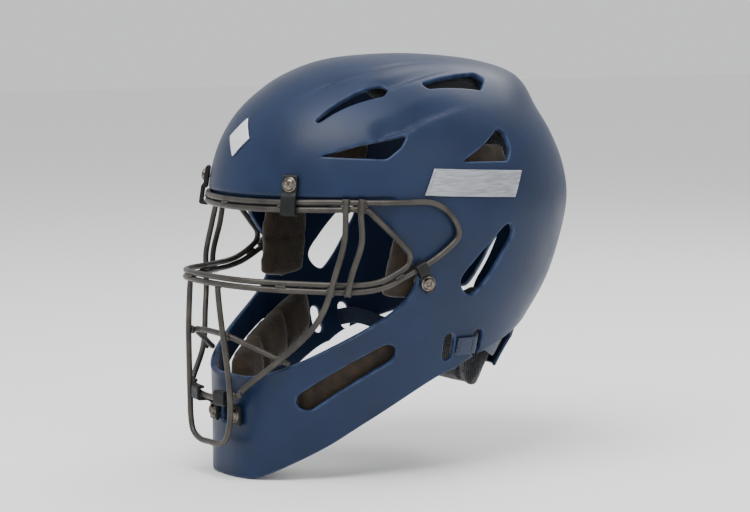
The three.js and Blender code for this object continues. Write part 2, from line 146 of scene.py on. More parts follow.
def new_material(name):
    """A material with only a Principled shader, and its tree."""
    material = bpy.data.materials.new(name)
    material.use_nodes = True
    tree = material.node_tree
    return material, tree, tree.nodes["Principled BSDF"]


def link_object(name, mesh, material=None):
    """Put a mesh into the scene as an object at the origin."""
    obj = bpy.data.objects.new(name, mesh)
    bpy.context.scene.collection.objects.link(obj)
    if material is not None:
        obj.data.materials.clear()
        obj.data.materials.append(material)
    return obj


# %% Floor and lights
floor_material, tree, shader = new_material("pale_matt_floor")
shader.inputs["Base Color"].default_value = linear("#f6f6f5")
shader.inputs["Roughness"].default_value = 0.9
floor_mesh = bpy.data.meshes.new("floor")
FLOOR_HALF, FLOOR_GAP = 6, 0.0005       # metres; the gap keeps the chin off the floor's face
floor_corners = [(x * FLOOR_HALF, y * FLOOR_HALF, 0) for x, y in ((-1, -1), (1, -1), (1, 1), (-1, 1))]
floor_mesh.from_pydata(floor_corners, [], [(0, 1, 2, 3)])
floor_mesh.transform(Matrix.Translation((0, 0, cad_box[0][2] - FLOOR_GAP)))
floor = link_object("floor", floor_mesh, floor_material)

world = bpy.data.worlds.new("studio")
bpy.context.scene.world = world
world.use_nodes = True
sky = world.node_tree.nodes["Background"]
sky.inputs["Color"].default_value = linear("#f4f5f7")
sky.inputs["Strength"].default_value = 0.92


def softbox(name, azimuth, elevation, distance, size, watts):
    """A square area light that looks at the middle of the mask. Lengths are in metres."""
    light = bpy.data.lights.new(name, "AREA")
    light.shape = "SQUARE"
    light.size = size
    light.energy = watts
    aim(bpy.data.objects.new(name, light), azimuth, elevation, distance)


softbox("key_light", 30, 62, 1.6, 1.1, 30)
softbox("side_light", 100, 22, 1.8, 1.1, 5)
softbox("back_light", 200, 50, 1.8, 1.0, 16)
print("three soft lights over a pale floor")

# %% [markdown]
# ## The form of the helmet, as numbers
#
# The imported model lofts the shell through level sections. The same rule is written here, so
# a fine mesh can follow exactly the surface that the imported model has. Every point of the
# surface has two coordinates: t counts sections down from the crown, and phi is the angle
# round the head, 0 in front and positive on the wearer's left. Lengths are in millimetres.

# %% Sections and the surface
# Each row: height, foremost y, rearmost y, half width, y of the widest point, and the
# squareness of the front half and of the rear half.
SECTIONS = np.array([
    [105.5, 5, 5, 0, 5, 2, 2], [103.8, -34, 40, 24, 5, 2, 2.1], [99.8, -57, 69, 45, 5, 2, 2.2],
    [92.5, -77, 92, 62, 4, 2, 2.3], [83, -94, 102, 76, 3, 2, 2.3],
    [67, -113, 109.5, 91, 2, 2, 2.2], [48, -125.5, 121.5, 102, 1, 2.05, 2.15],
    [25, -133, 133, 108, 0, 2.1, 2.1], [0, -136, 137, 110, 0, 2.1, 2.1],
    [-30, -137, 130.5, 107, 0, 2.1, 2.1], [-60, -137, 118, 102, 0, 2.15, 2.1],
    [-90, -137, 97, 93, 0, 2.25, 2.1], [-120, -137, 75, 84, 0, 2.4, 2.1],
    [-155, -137, 60, 74, 0, 2.6, 2.1], [-192, -139, 50, 62, 0, 2.7, 2.1]])
LAST = len(SECTIONS) - 1
WALL = 4.0          # shell wall
above = SECTIONS[1] * [1, -1, -1, -1, 1, 1, 1] + [0, 10, 10, 0, 0, 0, 0]
ROWS = np.vstack([above, SECTIONS, 2 * SECTIONS[-1] - SECTIONS[-2]])


def section(t):
    """The section at t, smooth between the rows."""
    t = np.asarray(t, float)
    i = np.clip(np.floor(t).astype(int), 0, LAST - 1)
    f = (t - i)[..., None]
    a, b, c, d = (ROWS[i + k] for k in range(4))
    return 0.5 * (2 * b + (c - a) * f + (2 * a - 5 * b + 4 * c - d) * f ** 2
                  + (3 * b - a - 3 * c + d) * f ** 3)


def surface(t, phi):
    """Points of the outer surface."""
    t, phi = np.broadcast_arrays(np.asarray(t, float), np.asarray(phi, float))
    z, front, rear, half, mid, nf, nr = np.moveaxis(section(t), -1, 0)
    c, s = np.cos(phi), np.sin(phi)
    n = np.where(c > 0, nf, nr)
    reach = np.where(c > 0, front, rear) - mid
    return np.stack([half * np.sign(s) * np.abs(s) ** (2 / n),
                     mid + reach * np.abs(c) ** (2 / n), z], -1)


def normal(t, phi):
    """Unit vectors straight out of the surface."""
    t, phi = np.broadcast_arrays(np.asarray(t, float), np.asarray(phi, float))
    low = np.maximum(t - 1e-3, 0)
    n = np.cross(surface(t + 1e-3, phi) - surface(low, phi),
                 surface(t, phi + 1e-3) - surface(t, phi - 1e-3))
    n /= np.maximum(np.linalg.norm(n, axis=-1, keepdims=True), 1e-12)
    outward = surface(t, phi) - [0, 0, -20]
    n *= np.where(np.sum(n * outward, -1) < 0, -1, 1)[..., None]
    return np.where((t < 0.03)[..., None], [0.0, 0.0, 1.0], n)


def raised(t, phi, off):
    """Points that stand off the surface by a distance."""
    return surface(t, phi) + normal(t, phi) * np.asarray(off, float)[..., None]


# %% Lengths along a path
def lengths_along(points):
    """How far along a path each of its points is."""
    return np.r_[0, np.cumsum(np.linalg.norm(np.diff(points, axis=0), axis=1))]


def points_at(at, length, points):
    """Points in between, where length says how far along each given point is."""
    return np.stack([np.interp(at, length, column) for column in points.T], -1)


# %% From a view to the surface
T_TABLE = np.linspace(0.001, LAST, 6000)
Z_TABLE = section(T_TABLE)[:, 0]


def row_at(z):
    """t at a height."""
    return np.interp(-np.asarray(z, float), -Z_TABLE, T_TABLE)


def side_angle(t, y):
    """phi of the point at this y, on the wearer's left."""
    _, front, rear, _, mid, nf, nr = np.moveaxis(section(t), -1, 0)
    ahead = y < mid
    share = np.clip((y - mid) / (np.where(ahead, front, rear) - mid), 0, 1)
    c = share ** (np.where(ahead, nf, nr) / 2)
    return np.arccos(np.where(ahead, c, -c))


def width_angle(t, x, rear=False):
    """phi of the point at this x, in the front half or in the rear half."""
    _, _, _, half, _, nf, nr = np.moveaxis(section(t), -1, 0)
    s = np.clip(np.abs(x) / half, 0, 1) ** ((nr if rear else nf) / 2)
    angle = np.arcsin(s)
    return np.where(x < 0, -1, 1) * (math.pi - angle if rear else angle)


def top_place(x, y):
    """t and phi of the point straight above x and y."""
    x, y = np.broadcast_arrays(np.asarray(x, float), np.asarray(y, float))
    low, high = np.full(x.shape, 0.001), np.full(x.shape, LAST / 2)

    def shares(t):
        _, front, rear, half, mid, nf, nr = np.moveaxis(section(t), -1, 0)
        n = np.where(y < mid, nf, nr)
        reach = np.where(y < mid, front, rear) - mid
        return np.abs(x / half) ** n, np.abs((y - mid) / reach) ** n, y < mid

    for _ in range(40):
        t = (low + high) / 2
        a, b, _ = shares(t)
        inside = a + b > 1
        low, high = np.where(inside, t, low), np.where(inside, high, t)
    a, b, ahead = shares(low)
    return low, np.where(x < 0, -1, 1) * np.arctan2(np.sqrt(a), np.where(ahead, 1, -1) * np.sqrt(b))


def on_side(s, y, z, off=0.0):
    """A point at the side: s is +1 on the wearer's left."""
    t = row_at(z)
    return raised(t, s * side_angle(t, y), off)


def on_front(x, z, off=0.0):
    t = row_at(z)
    return raised(t, width_angle(t, np.asarray(x, float)), off)


def on_rear(x, z, off=0.0):
    t = row_at(z)
    return raised(t, width_angle(t, np.asarray(x, float), rear=True), off)


def on_top(x, y, off=0.0):
    return raised(*top_place(x, y), off)


print("brow at", on_front(0, 0).round(1), "crown at", on_top(0, 5).round(1))

# %% [markdown]
# ## The moulded shell
#
# The real shell is one injection moulding in ABS, about 4 mm thick. It could be made by
# cutting a thick solid with boolean cutters, but their rims come out ragged and won't take
# a clean bevel. Here the outlines of all the openings are drawn first, in the coordinates
# of the surface, and a triangle mesh is laid between them. Rings of points beside each
# outline let the edge roll over in a small radius, as it leaves the mould.

# %% Outlines of the openings
# Outlines seen from the side are lists of [y, z].
FACE_OPENING = [[-136, 0], [-112, 1], [-94, 4], [-85, 6.5], [-79, 5], [-71, -5], [-56, -24],
                [-45, -38], [-42, -45], [-43, -54], [-51, -66], [-62, -76], [-83, -89],
                [-110, -105], [-126, -114], [-134, -118], [-138, -118]]
LOWER_EDGE = [[-140, -190], [-131, -190], [-119, -183], [-103, -174], [-87, -165],
              [-54, -144], [-36, -133], [-24, -126], [-4, -116], [14, -108], [42, -99],
              [63, -92], [82, -85], [96, -76], [99.3, -75.7]]
EAR_HOLE = [[35, -13], [37, -20], [27, -34], [18, -48], [6, -61], [0, -62], [-7, -55],
            [-8, -48], [6, -33], [20, -20], [29, -12]]
SIDE_VENTS = [[[-101, 38], [-79, 45.5], [-46, 52], [-52, 44], [-63, 36]],
              [[-8, 33], [12, 44], [28, 55], [33, 53], [36, 40], [32, 32]]]
JAW_VENT = [[-106, -133], [-57, -101], 7.0]
STRAP_SLOTS = [[[-9, -93], [-8.5, -105], 4.2], [[16, -91.5], [16.5, -103.5], 4.2]]
# The crown vents are seen from above, as [x, y].
CROWN_VENTS = [[[54, -97], [57, -95], [70, -50], [66, -43], [60, -48]],
               [[70, -19], [75, -16], [77, 28], [66, 38], [60, 34]]]
ARCH_HALF, ARCH_TOP = 38.0, -15.0
BOLTS = {"brow": (56.5, 18.0), "side": (-35.5, -50.0), "chin": (14.5, -146.0)}
BOLT_HOLE = 3.6
ROUND = 110.0       # millimetres to a radian of phi, to draw outlines on a flat sheet


def slot_outline(start, end, half, steps=7):
    """A slot with round ends between two points."""
    start, end = np.array(start, float), np.array(end, float)
    along = math.atan2(*(end - start)[::-1])
    turn = np.linspace(-math.pi / 2, math.pi / 2, steps) + along
    ends = [centre + half * np.stack([np.cos(a), np.sin(a)], -1)
            for centre, a in ((end, turn), (start, turn + math.pi))]
    return np.vstack(ends)


def eased(points, closed, reach, step=0.3):
    """The outline with every corner turned into a short curve, as closely spaced points."""
    p = np.asarray(points, float)
    count = len(p)
    path = [] if closed else [p[:1]]
    for i in range(count) if closed else range(1, count - 1):
        a, b, c = p[i - 1], p[i], p[(i + 1) % count]
        before, after = np.linalg.norm(a - b), np.linalg.norm(c - b)
        enter = b + (a - b) * min(reach, 0.5 * before) / before
        leave = b + (c - b) * min(reach, 0.5 * after) / after
        f = np.linspace(0, 1, 12)[:, None]
        path.append((1 - f) ** 2 * enter + 2 * f * (1 - f) * b + f ** 2 * leave)
    path = np.vstack(path + ([path[0][:1]] if closed else [p[-1:]]))
    length = lengths_along(path)
    at = np.linspace(0, length[-1], max(int(length[-1] / step), 8))
    return points_at(at, length, path)


def sheet_to_place(points):
    """t and phi of points on the flat sheet of [ROUND times phi, z]."""
    return np.stack([row_at(points[:, 1]), points[:, 0] / ROUND], -1)


def side_to_sheet(points):
    points = np.asarray(points, float)
    return np.stack([ROUND * side_angle(row_at(points[:, 1]), points[:, 0]), points[:, 1]], -1)


def spaced(places, spacing, closed):
    """Places at an even spacing, measured on the surface itself."""
    points = surface(places[:, 0], places[:, 1])
    length = lengths_along(points)
    count = max(int(round(length[-1] / spacing)), 10)
    at = np.linspace(0, length[-1], count + 1)[:count + (0 if closed else 1)]
    return points_at(at, length, places)


half_turn = np.linspace(0, math.pi / 2, 9)
arch = np.stack([ARCH_HALF * np.cos(half_turn), ARCH_TOP - 40 + 40 * np.sin(half_turn)], -1)
arch_sheet = np.stack([ROUND * width_angle(row_at(arch[:, 1]), arch[:, 0], rear=True),
                       arch[:, 1]], -1)
EDGE_SPACING = 1.7
VENT_CORNER, WIDE_CORNER, FACE_CORNER = 2.2, 9, 40      # how far each corner is eased


def side_hole(points, reach):
    """A hole drawn from the side, in the form that the list of outlines has."""
    return [sheet_to_place(eased(side_to_sheet(points), True, reach)), True, False]


# Each outline: t and phi along it, is it closed, and is it the outer border.
whole_edge = np.vstack([side_to_sheet(LOWER_EDGE), arch_sheet])
outlines = [[sheet_to_place(eased(side_to_sheet(FACE_OPENING), False, FACE_CORNER)), False, False],
            [sheet_to_place(eased(whole_edge, False, WIDE_CORNER)), False, True],
            side_hole(EAR_HOLE, WIDE_CORNER)]
outlines += [side_hole(vent, VENT_CORNER) for vent in SIDE_VENTS]
outlines += [side_hole(slot_outline(*slot), slot[2] * 0.3) for slot in [JAW_VENT] + STRAP_SLOTS]
for vent in CROWN_VENTS:
    flat = eased(vent, True, VENT_CORNER)
    outlines.append([np.stack(top_place(flat[:, 0], flat[:, 1]), -1), True, False])
circle = np.linspace(0, 2 * math.pi, 25)[:24]
seats = {}          # where each bolt goes: the point on the surface and the way out
for name, (a, z) in BOLTS.items():
    t = row_at(z)
    phi = side_angle(t, a) if name == "side" else width_angle(t, a)
    seats[name] = (surface(t, phi), normal(t, phi))
    around = np.stack([BOLT_HOLE * np.cos(circle), BOLT_HOLE * np.sin(circle)], -1)
    slope = np.linalg.norm(surface(t, phi + 0.01) - surface(t, phi)) / 0.01
    rise = np.linalg.norm(surface(t + 0.01, phi) - surface(t, phi)) / 0.01
    outlines.append([np.stack([t + around[:, 1] / rise, phi + around[:, 0] / slope], -1),
                     True, False])
chin = eased([[0, -153], [7, -153], [7, -141], [0, -141]], False, 2.5)
outlines.append([np.stack([row_at(chin[:, 1]), width_angle(row_at(chin[:, 1]), chin[:, 0])],
                          -1), False, False])
outlines = [[spaced(np.vstack([p, p[:1]]) if closed else p,
                    min(EDGE_SPACING, 0.9 if len(p) < 40 else 9), closed), closed, border]
            for p, closed, border in outlines]
print(len(outlines), "outlines on the left half,", sum(len(o[0]) for o in outlines), "points")

# %% A flat chart of the left half
# Points are joined up on a flat half disc, with the crown at its centre. Its radius grows
# so that small shapes keep their proportions, which keeps the triangles well shaped.
CHART_T = np.linspace(0.02, LAST, 700)
ring_phi = np.linspace(0, math.pi, 721)
rings = surface(CHART_T[:, None], ring_phi[None, :])
ring_length = np.linalg.norm(np.diff(rings, axis=1), axis=2).sum(1)
row_gap = np.linalg.norm(np.diff(rings, axis=0), axis=2).mean(1)
mean_radius = ring_length / math.pi
growth = np.r_[0, np.cumsum(row_gap / (0.5 * (mean_radius[1:] + mean_radius[:-1])))]
CHART_RHO = mean_radius[0] * np.exp(growth)
MEAN_ARC = np.r_[0, np.cumsum(row_gap)]


def to_chart(places):
    rho = np.interp(places[:, 0], CHART_T, CHART_RHO)
    rho = np.where(places[:, 0] < CHART_T[0], CHART_RHO[0] * places[:, 0] / CHART_T[0], rho)
    return np.stack([rho * np.cos(places[:, 1]), rho * np.sin(places[:, 1])], -1)


def from_chart(flat):
    rho = np.linalg.norm(flat, axis=1)
    t = np.interp(rho, CHART_RHO, CHART_T)
    t = np.where(rho < CHART_RHO[0], CHART_T[0] * rho / CHART_RHO[0], t)
    return np.stack([t, np.arctan2(np.maximum(flat[:, 1], 0), flat[:, 0])], -1)


def inside(flat, polygon):
    """Which points lie in a polygon, by counting crossings."""
    hit = np.zeros(len(flat), bool)
    for (ax, ay), (bx, by) in zip(polygon, np.roll(polygon, -1, axis=0)):
        if ay == by:
            continue
        crosses = (ay > flat[:, 1]) != (by > flat[:, 1])
        hit ^= crosses & (flat[:, 0] < (bx - ax) * (flat[:, 1] - ay) / (by - ay) + ax)
    return hit


def kd_tree(points):
    tree = KDTree(len(points))
    for i, p in enumerate(points):
        tree.insert(p, i)
    tree.balance()
    return tree


def distances(tree, points):
    return np.array([tree.find(p)[2] for p in points])


# %% Lay the mesh between the outlines
GRID = 2.5          # spacing of the mesh on the open surface
BESIDE = [0.12, 0.38, 0.75, 1.2, 1.9]       # rings of points beside every outline

flats, edge_points, borders = [], [], []
for places, closed, border in outlines:
    flat = to_chart(places)
    if not closed:
        flat[[0, -1], 1] = 0.0
    flats.append(flat)
    fine = np.vstack([places, places[:1]]) if closed else places
    f = np.arange(0, len(fine) - 1, 0.2)
    fine = points_at(f, np.arange(len(fine)), fine)
    edge_points.append(surface(fine[:, 0], fine[:, 1]))
    borders.append(border)
edge_points = np.vstack(edge_points)
edge_tree = kd_tree(edge_points)


def in_material(flat):
    """True where the shell has its wall."""
    keep = np.ones(len(flat), bool)
    for outline, border in zip(flats, borders):
        hit = inside(flat, outline if not border else np.vstack([outline, [[-1e-3, -0.01]]]))
        keep &= hit if border else ~hit
    return keep


cloud, links = [], []
for flat, (places, closed, border) in zip(flats, outlines):
    base = sum(len(c) for c in cloud)
    cloud.append(flat)
    count = len(flat)
    links += [(base + i, base + (i + 1) % count) for i in range(count if closed else count - 1)]
for flat, (places, closed, border) in zip(flats, outlines):
    if closed:
        before, after = np.roll(flat, 1, axis=0), np.roll(flat, -1, axis=0)
    else:
        before = np.vstack([flat[1] * [1, -1], flat[:-1]])
        after = np.vstack([flat[1:], flat[-2] * [1, -1]])
    along = after - before
    across = np.stack([along[:, 1], -along[:, 0]], -1)
    across /= np.linalg.norm(across, axis=1, keepdims=True)
    scale = (np.linalg.norm(flat, axis=1) / np.interp(places[:, 0], CHART_T, mean_radius))[:, None]
    sign = 1 if in_material(flat + 0.4 * scale * across).mean() > 0.5 else -1
    for gap in BESIDE:
        ring = flat + sign * gap * scale * across
        if not closed:
            ring[[0, -1], 1] = 0.0
        there = from_chart(ring)
        far = distances(edge_tree, surface(there[:, 0], there[:, 1])) > 0.86 * gap
        cloud.append(ring[far & in_material(ring)])

grid = []
arc = 0.0
row = 0
extra = [row_at(z) for z in (10.6, 10.1, 9.6, 9.1, 8.5)]        # close rows over the brow step
while arc < MEAN_ARC[-1]:
    t = np.interp(arc, MEAN_ARC, CHART_T)
    ring = surface(t, ring_phi)
    length = lengths_along(ring)
    count = max(int(round(length[-1] / GRID)), 3)
    share = np.arange(count + 1) / count
    if row % 2:
        share = np.r_[0, (np.arange(count) + 0.5) / count, 1]
    phi = np.interp(share * length[-1], length, ring_phi)
    grid.append(np.stack([np.full(len(phi), t), phi], -1))
    arc += GRID * 0.87
    row += 1
for k, t in enumerate(extra):
    phi = np.arange(0, 1.2, 0.02) + 0.01 * (k % 2)
    phi[0] = 0.0
    grid.append(np.stack([np.full(len(phi), float(t)), phi], -1))
grid = np.vstack([[[0.0, 0.0]]] + grid)
flat = to_chart(grid)
flat[(grid[:, 1] < 1e-9) | (grid[:, 1] > math.pi - 1e-9), 1] = 0.0
keep = in_material(flat + [0, 1e-6])
keep &= distances(edge_tree, surface(grid[:, 0], grid[:, 1])) > BESIDE[-1] + 0.9
cloud.append(flat[keep])
cloud = np.vstack(cloud)
scale = CHART_RHO[-1]
flat_out, _, triangles, *_ = delaunay_2d_cdt([Vector(p / scale) for p in cloud], links, [], 0, 1e-7)
flat_out = np.array([tuple(p) for p in flat_out]) * scale
triangles = np.array([f for f in triangles if len(f) == 3])
corners = flat_out[triangles]
area = np.cross(corners[:, 1] - corners[:, 0], corners[:, 2] - corners[:, 0])
triangles = triangles[(np.abs(area) > 1e-7) & in_material(corners.mean(1))]
used = np.unique(triangles)
renumber = np.full(len(flat_out), -1)
renumber[used] = np.arange(len(used))
triangles, flat_out = renumber[triangles], flat_out[used]
chart_places = from_chart(flat_out)
on_middle = np.abs(flat_out[:, 1]) < 1e-9
chart_places[on_middle, 1] = np.where(flat_out[on_middle, 0] >= 0, 0.0, math.pi)
print("left half:", len(flat_out), "points,", len(triangles), "triangles")

# %% Mirror the half to the whole head
half_count = len(flat_out)
other = np.arange(half_count)
other[~on_middle] = half_count + np.arange((~on_middle).sum())
places = np.vstack([chart_places, chart_places[~on_middle] * [1, -1]])
triangles = np.vstack([triangles, other[triangles][:, ::-1]])
points = surface(places[:, 0], places[:, 1])
out = normal(places[:, 0], places[:, 1])
a, b, c = (points[triangles[:, k]] for k in range(3))
backward = np.sum(np.cross(b - a, c - a) * out[triangles[:, 0]], 1) < 0
triangles[backward] = triangles[backward][:, ::-1]
edge_gap = distances(edge_tree, np.stack([np.abs(points[:, 0]), *points[:, 1:].T], -1))
print("whole shell:", len(points), "points on its outer face")

# %% Press in the step, the ridges and the rolled edges
BROW_STEP = 2.6     # the brow bar lies in this step
ROLL_OUT, ROLL_IN = 1.3, 0.9        # radii of the edges, outside and inside


def ease(value):
    value = np.clip(value, 0, 1)
    return value * value * (3 - 2 * value)


def roll(gap, radius):
    """How far an edge of this radius falls away, at a distance from the edge."""
    inner = radius - np.clip(gap, 0, radius)
    return radius - np.sqrt(np.maximum(radius ** 2 - inner ** 2, 0))


def polyline_gap(points, path):
    """Signed distance to a path over the surface, and how far along it, from 0 to 1."""
    best = np.full(len(points), 1e9)
    along, side = np.zeros(len(points)), np.zeros(len(points))
    length = lengths_along(path)
    for i, (a, b) in enumerate(zip(path, path[1:])):
        f = np.clip((points - a) @ (b - a) / ((b - a) @ (b - a)), 0, 1)
        offset = points - (a + f[:, None] * (b - a))
        gap = np.linalg.norm(offset, axis=1)
        near = gap < best
        up = np.cross(a / np.linalg.norm(a), b - a)
        best[near], side[near] = gap[near], (offset @ up)[near]
        along[near] = ((length[i] + f * (length[i + 1] - length[i])) / length[-1])[near]
    return best * np.sign(side), along


def dish(points, path, depth, width, below):
    """A soft hollow beside a ridge line: steep on the upper side, long on the other."""
    gap, along = polyline_gap(points, path)
    gap = gap * below
    profile = ease((gap + 1.6) / 3.2) * ease((width - gap) / (width - 2.0))
    return depth * profile * ease(along / 0.12) * ease((1 - along) / 0.55)


left = np.stack([np.abs(points[:, 0]), *points[:, 1:].T], -1)
upright = on_side(1, np.array([-70, -46, -28, -5, 12]), np.array([47, 54.5, 62, 68, 70.5]))
crown_line = on_top(np.array([62, 67, 66, 62, 57]), np.array([-62, -42, -24, -2, 24]))
centre_line = on_top(np.array([34, 40, 44, 45, 44]), np.array([-96, -74, -50, -20, 20]))
ridge = polyline_gap(left, centre_line)
sink = dish(left, upright, 2.2, 17, +1) + dish(left, crown_line, 1.8, 13, +1)
sink += 0.9 * ease(1 - np.abs(ridge[0]) / 3.0) * ease(ridge[1] / 0.2) * ease((1 - ridge[1]) / 0.5)
step = BROW_STEP * ease((10.4 - points[:, 2]) / 1.7) * ease((1.16 - np.abs(places[:, 1])) / 0.1)
step *= points[:, 2] > -30
face_tree = kd_tree(surface(outlines[0][0][:, 0], outlines[0][0][:, 1]))
face_gap = distances(face_tree, left)
lip = 0.55 * ease(face_gap / 1.2) * ease((4.6 - face_gap) / 2.2)
lip *= ease((-8 - points[:, 2]) / 12)
outer = points + out * (lip - sink - step - roll(edge_gap, ROLL_OUT))[:, None]
inner = points + out * (-WALL - step + roll(edge_gap, ROLL_IN))[:, None]

# %% Close the shell along its rims
def mesh_from(name, vertices, faces, scale=MM):
    mesh = bpy.data.meshes.new(name)
    mesh.from_pydata((np.asarray(vertices, float) * scale).tolist(), [],
                     [list(map(int, f)) for f in faces])
    mesh.polygons.foreach_set("use_smooth", [True] * len(mesh.polygons))
    mesh.validate()
    return mesh


def face_outward(mesh):
    """Turn every face of a closed mesh to the outside."""
    form = bmesh.new()
    form.from_mesh(mesh)
    bmesh.ops.recalc_face_normals(form, faces=form.faces)
    form.to_mesh(mesh)
    form.free()


count = len(points)
directed = np.vstack([triangles[:, [0, 1]], triangles[:, [1, 2]], triangles[:, [2, 0]]])
code = directed.min(1) * count + directed.max(1)
_, first, uses = np.unique(code, return_index=True, return_counts=True)
rim = directed[first[uses == 1]]
faces = triangles.tolist() + (triangles[:, ::-1] + count).tolist()
faces += [(b, a, a + count, b + count) for a, b in rim]
shell = link_object("shell", mesh_from("shell", np.vstack([outer, inner]), faces))
print("shell:", len(faces), "faces,", len(rim), "of them round the rims")

# %% [markdown]
# ## The finish of the shell
#
# ABS is a hard, slightly glossy plastic. It leaves a polished mould with a faint waviness,
# called orange peel, a few millimetres across. Handling dulls it in soft patches. The rolled
# edges are painted paler, partly as rubbing wear and partly as a painted highlight along the
# rims. The mesh carries an attribute that grows towards the nearest edge, so the paler paint
# follows the edges wherever they run.

# %% Moulded ABS
def object_coordinates(tree):
    return add_node(tree, "ShaderNodeTexCoord").outputs["Object"]


def grain(tree, size, detail=2.0, source=None, roughness=0.5):
    """Noise whose grains are about this many millimetres across."""
    return add_node(tree, "ShaderNodeTexNoise", {"Scale": 1 / (size * MM), "Detail": detail,
                    "Roughness": roughness}, {"Vector": source or object_coordinates(tree)})


def blend_colours(tree, factor, low, high, start=0.35, end=0.65):
    """A colour ramp between two sRGB colours."""
    ramp = add_node(tree, "ShaderNodeValToRGB", links={"Fac": factor})
    ramp.color_ramp.elements[0].position, ramp.color_ramp.elements[1].position = start, end
    ramp.color_ramp.elements[0].color, ramp.color_ramp.elements[1].color = linear(low), linear(high)
    return ramp.outputs["Color"]


def spread(tree, factor, low, high, start=0.3, end=0.7):
    """A number that runs from low to high as the factor runs from start to end."""
    return add_node(tree, "ShaderNodeMapRange", {"From Min": start, "From Max": end,
                    "To Min": low, "To Max": high}, {"Value": factor}).outputs["Result"]


def bumped(tree, height, depth, below=None, strength=1.0):
    """A bump whose full height is this many millimetres."""
    bump = add_node(tree, "ShaderNodeBump", {"Strength": strength, "Distance": depth * MM},
                    {"Height": height})
    if below is not None:
        tree.links.new(below, bump.inputs["Normal"])
    return bump.outputs["Normal"]


def moulded_abs(name, dark, light, edge, shine):
    material, tree, shader = new_material(name)
    peel = grain(tree, 3.2, 1.0)
    patches = grain(tree, 38, 3.0)
    fine = grain(tree, 0.5, 2.0)
    base = blend_colours(tree, patches.outputs["Fac"], dark, light)
    # Paler paint at the edges: partly rubbing wear, partly a painted rim highlight.
    wear = add_node(tree, "ShaderNodeAttribute", {"attribute_name": "wear"}).outputs["Fac"]
    rubbed_and_highlit = maths(tree, "MULTIPLY", wear,
                   spread(tree, grain(tree, 6, 4.0).outputs["Fac"], 0.0, 0.7))
    mix = add_node(tree, "ShaderNodeMix", {"data_type": "RGBA"})
    colour_a, colour_b = [s for s in mix.inputs if s.type == "RGBA"]
    tree.links.new(rubbed_and_highlit, mix.inputs["Factor"])
    tree.links.new(base, colour_a)
    colour_b.default_value = linear(edge)
    shader.inputs["IOR"].default_value = 1.53
    shader.inputs["Specular IOR Level"].default_value = 0.22        # a dulled, satin mould
    waves = bumped(tree, peel.outputs["Fac"], 0.05)
    plug(tree, shader, {
        "Base Color": [s for s in mix.outputs if s.type == "RGBA"][0],
        "Roughness": spread(tree, patches.outputs["Fac"], shine - 0.05, shine + 0.07),
        "Normal": bumped(tree, fine.outputs["Fac"], 0.012, waves)})
    return material


# The third colour is the paler edge paint: rubbing wear and a painted rim highlight.
NAVY_ABS = moulded_abs("navy_moulded_abs", "#13213a", "#172743", "#3c4d6e", 0.40)
shell.data.materials.append(NAVY_ABS)


def store(mesh, name, values):
    """Keep one number for each point as an attribute."""
    layer = mesh.attributes.new(name, "FLOAT", "POINT")
    layer.data.foreach_set("value", np.asarray(values, np.float32))


# Grows towards every edge: rubbing wear and a painted rim highlight.
store(shell.data, "wear", np.tile(ease((1.7 - edge_gap) / 1.2), 2))
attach(shell, "helmet")
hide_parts("front_shell")

# %% [markdown]
# ## The wire cage
#
# The cage is solid steel wire, about 4 mm thick, bent on a jig, welded where the wires
# meet and then powder coated. A curve object with a round bevel could draw each wire. Here
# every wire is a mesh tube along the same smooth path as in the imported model, because the
# welds are then easy to find: they are where two paths come within a wire's width.

# %% Smooth paths and tubes
def smooth_path(points, closed, spacing):
    """A centripetal Catmull-Rom curve through the points, evenly sampled."""
    p = np.asarray(points, float)
    ring = np.vstack([p[-1:], p, p[:2]] if closed else [2 * p[:1] - p[1:2], p, 2 * p[-1:] - p[-2:-1]])
    path = []
    for a, b, c, d in zip(ring, ring[1:], ring[2:], ring[3:]):
        gap = [max(np.linalg.norm(q - r) ** 0.5, 1e-4) for q, r in ((b, a), (c, b), (d, c))]
        enter = ((b - a) / gap[0] - (c - a) / (gap[0] + gap[1]) + (c - b) / gap[1]) * gap[1]
        leave = ((c - b) / gap[1] - (d - b) / (gap[1] + gap[2]) + (d - c) / gap[2]) * gap[1]
        f = np.linspace(0, 1, 40, endpoint=False)[:, None]
        path.append(b + enter * f + (3 * (c - b) - 2 * enter - leave) * f ** 2
                    + (2 * (b - c) + enter + leave) * f ** 3)
    path = np.vstack(path + [ring[-2:-1] if not closed else p[:1]])
    length = lengths_along(path)
    count = max(int(length[-1] / spacing), 4)
    at = np.linspace(0, length[-1], count + 1)[:count + (0 if closed else 1)]
    return points_at(at, length, path)


def path_frames(path, closed):
    """Tangents and two sideways directions that turn as little as they can."""
    if closed:
        tangent = np.roll(path, -1, axis=0) - np.roll(path, 1, axis=0)
    else:
        tangent = np.gradient(path, axis=0)
    tangent /= np.linalg.norm(tangent, axis=1, keepdims=True)
    side = np.zeros_like(path)
    guess = np.cross(tangent[0], [0.3, 0.5, 1.0])
    for i, t in enumerate(tangent):
        guess = guess - t * (guess @ t)
        guess /= np.linalg.norm(guess)
        side[i] = guess
    if closed:
        end = side[-1] - tangent[0] * (side[-1] @ tangent[0])
        twist = math.atan2(np.cross(end, side[0]) @ tangent[0], end @ side[0])
        turn = (twist * np.arange(len(path)) / len(path))[:, None]
        side = side * np.cos(turn) + np.cross(tangent, side) * np.sin(turn)
    return tangent, side, np.cross(tangent, side)


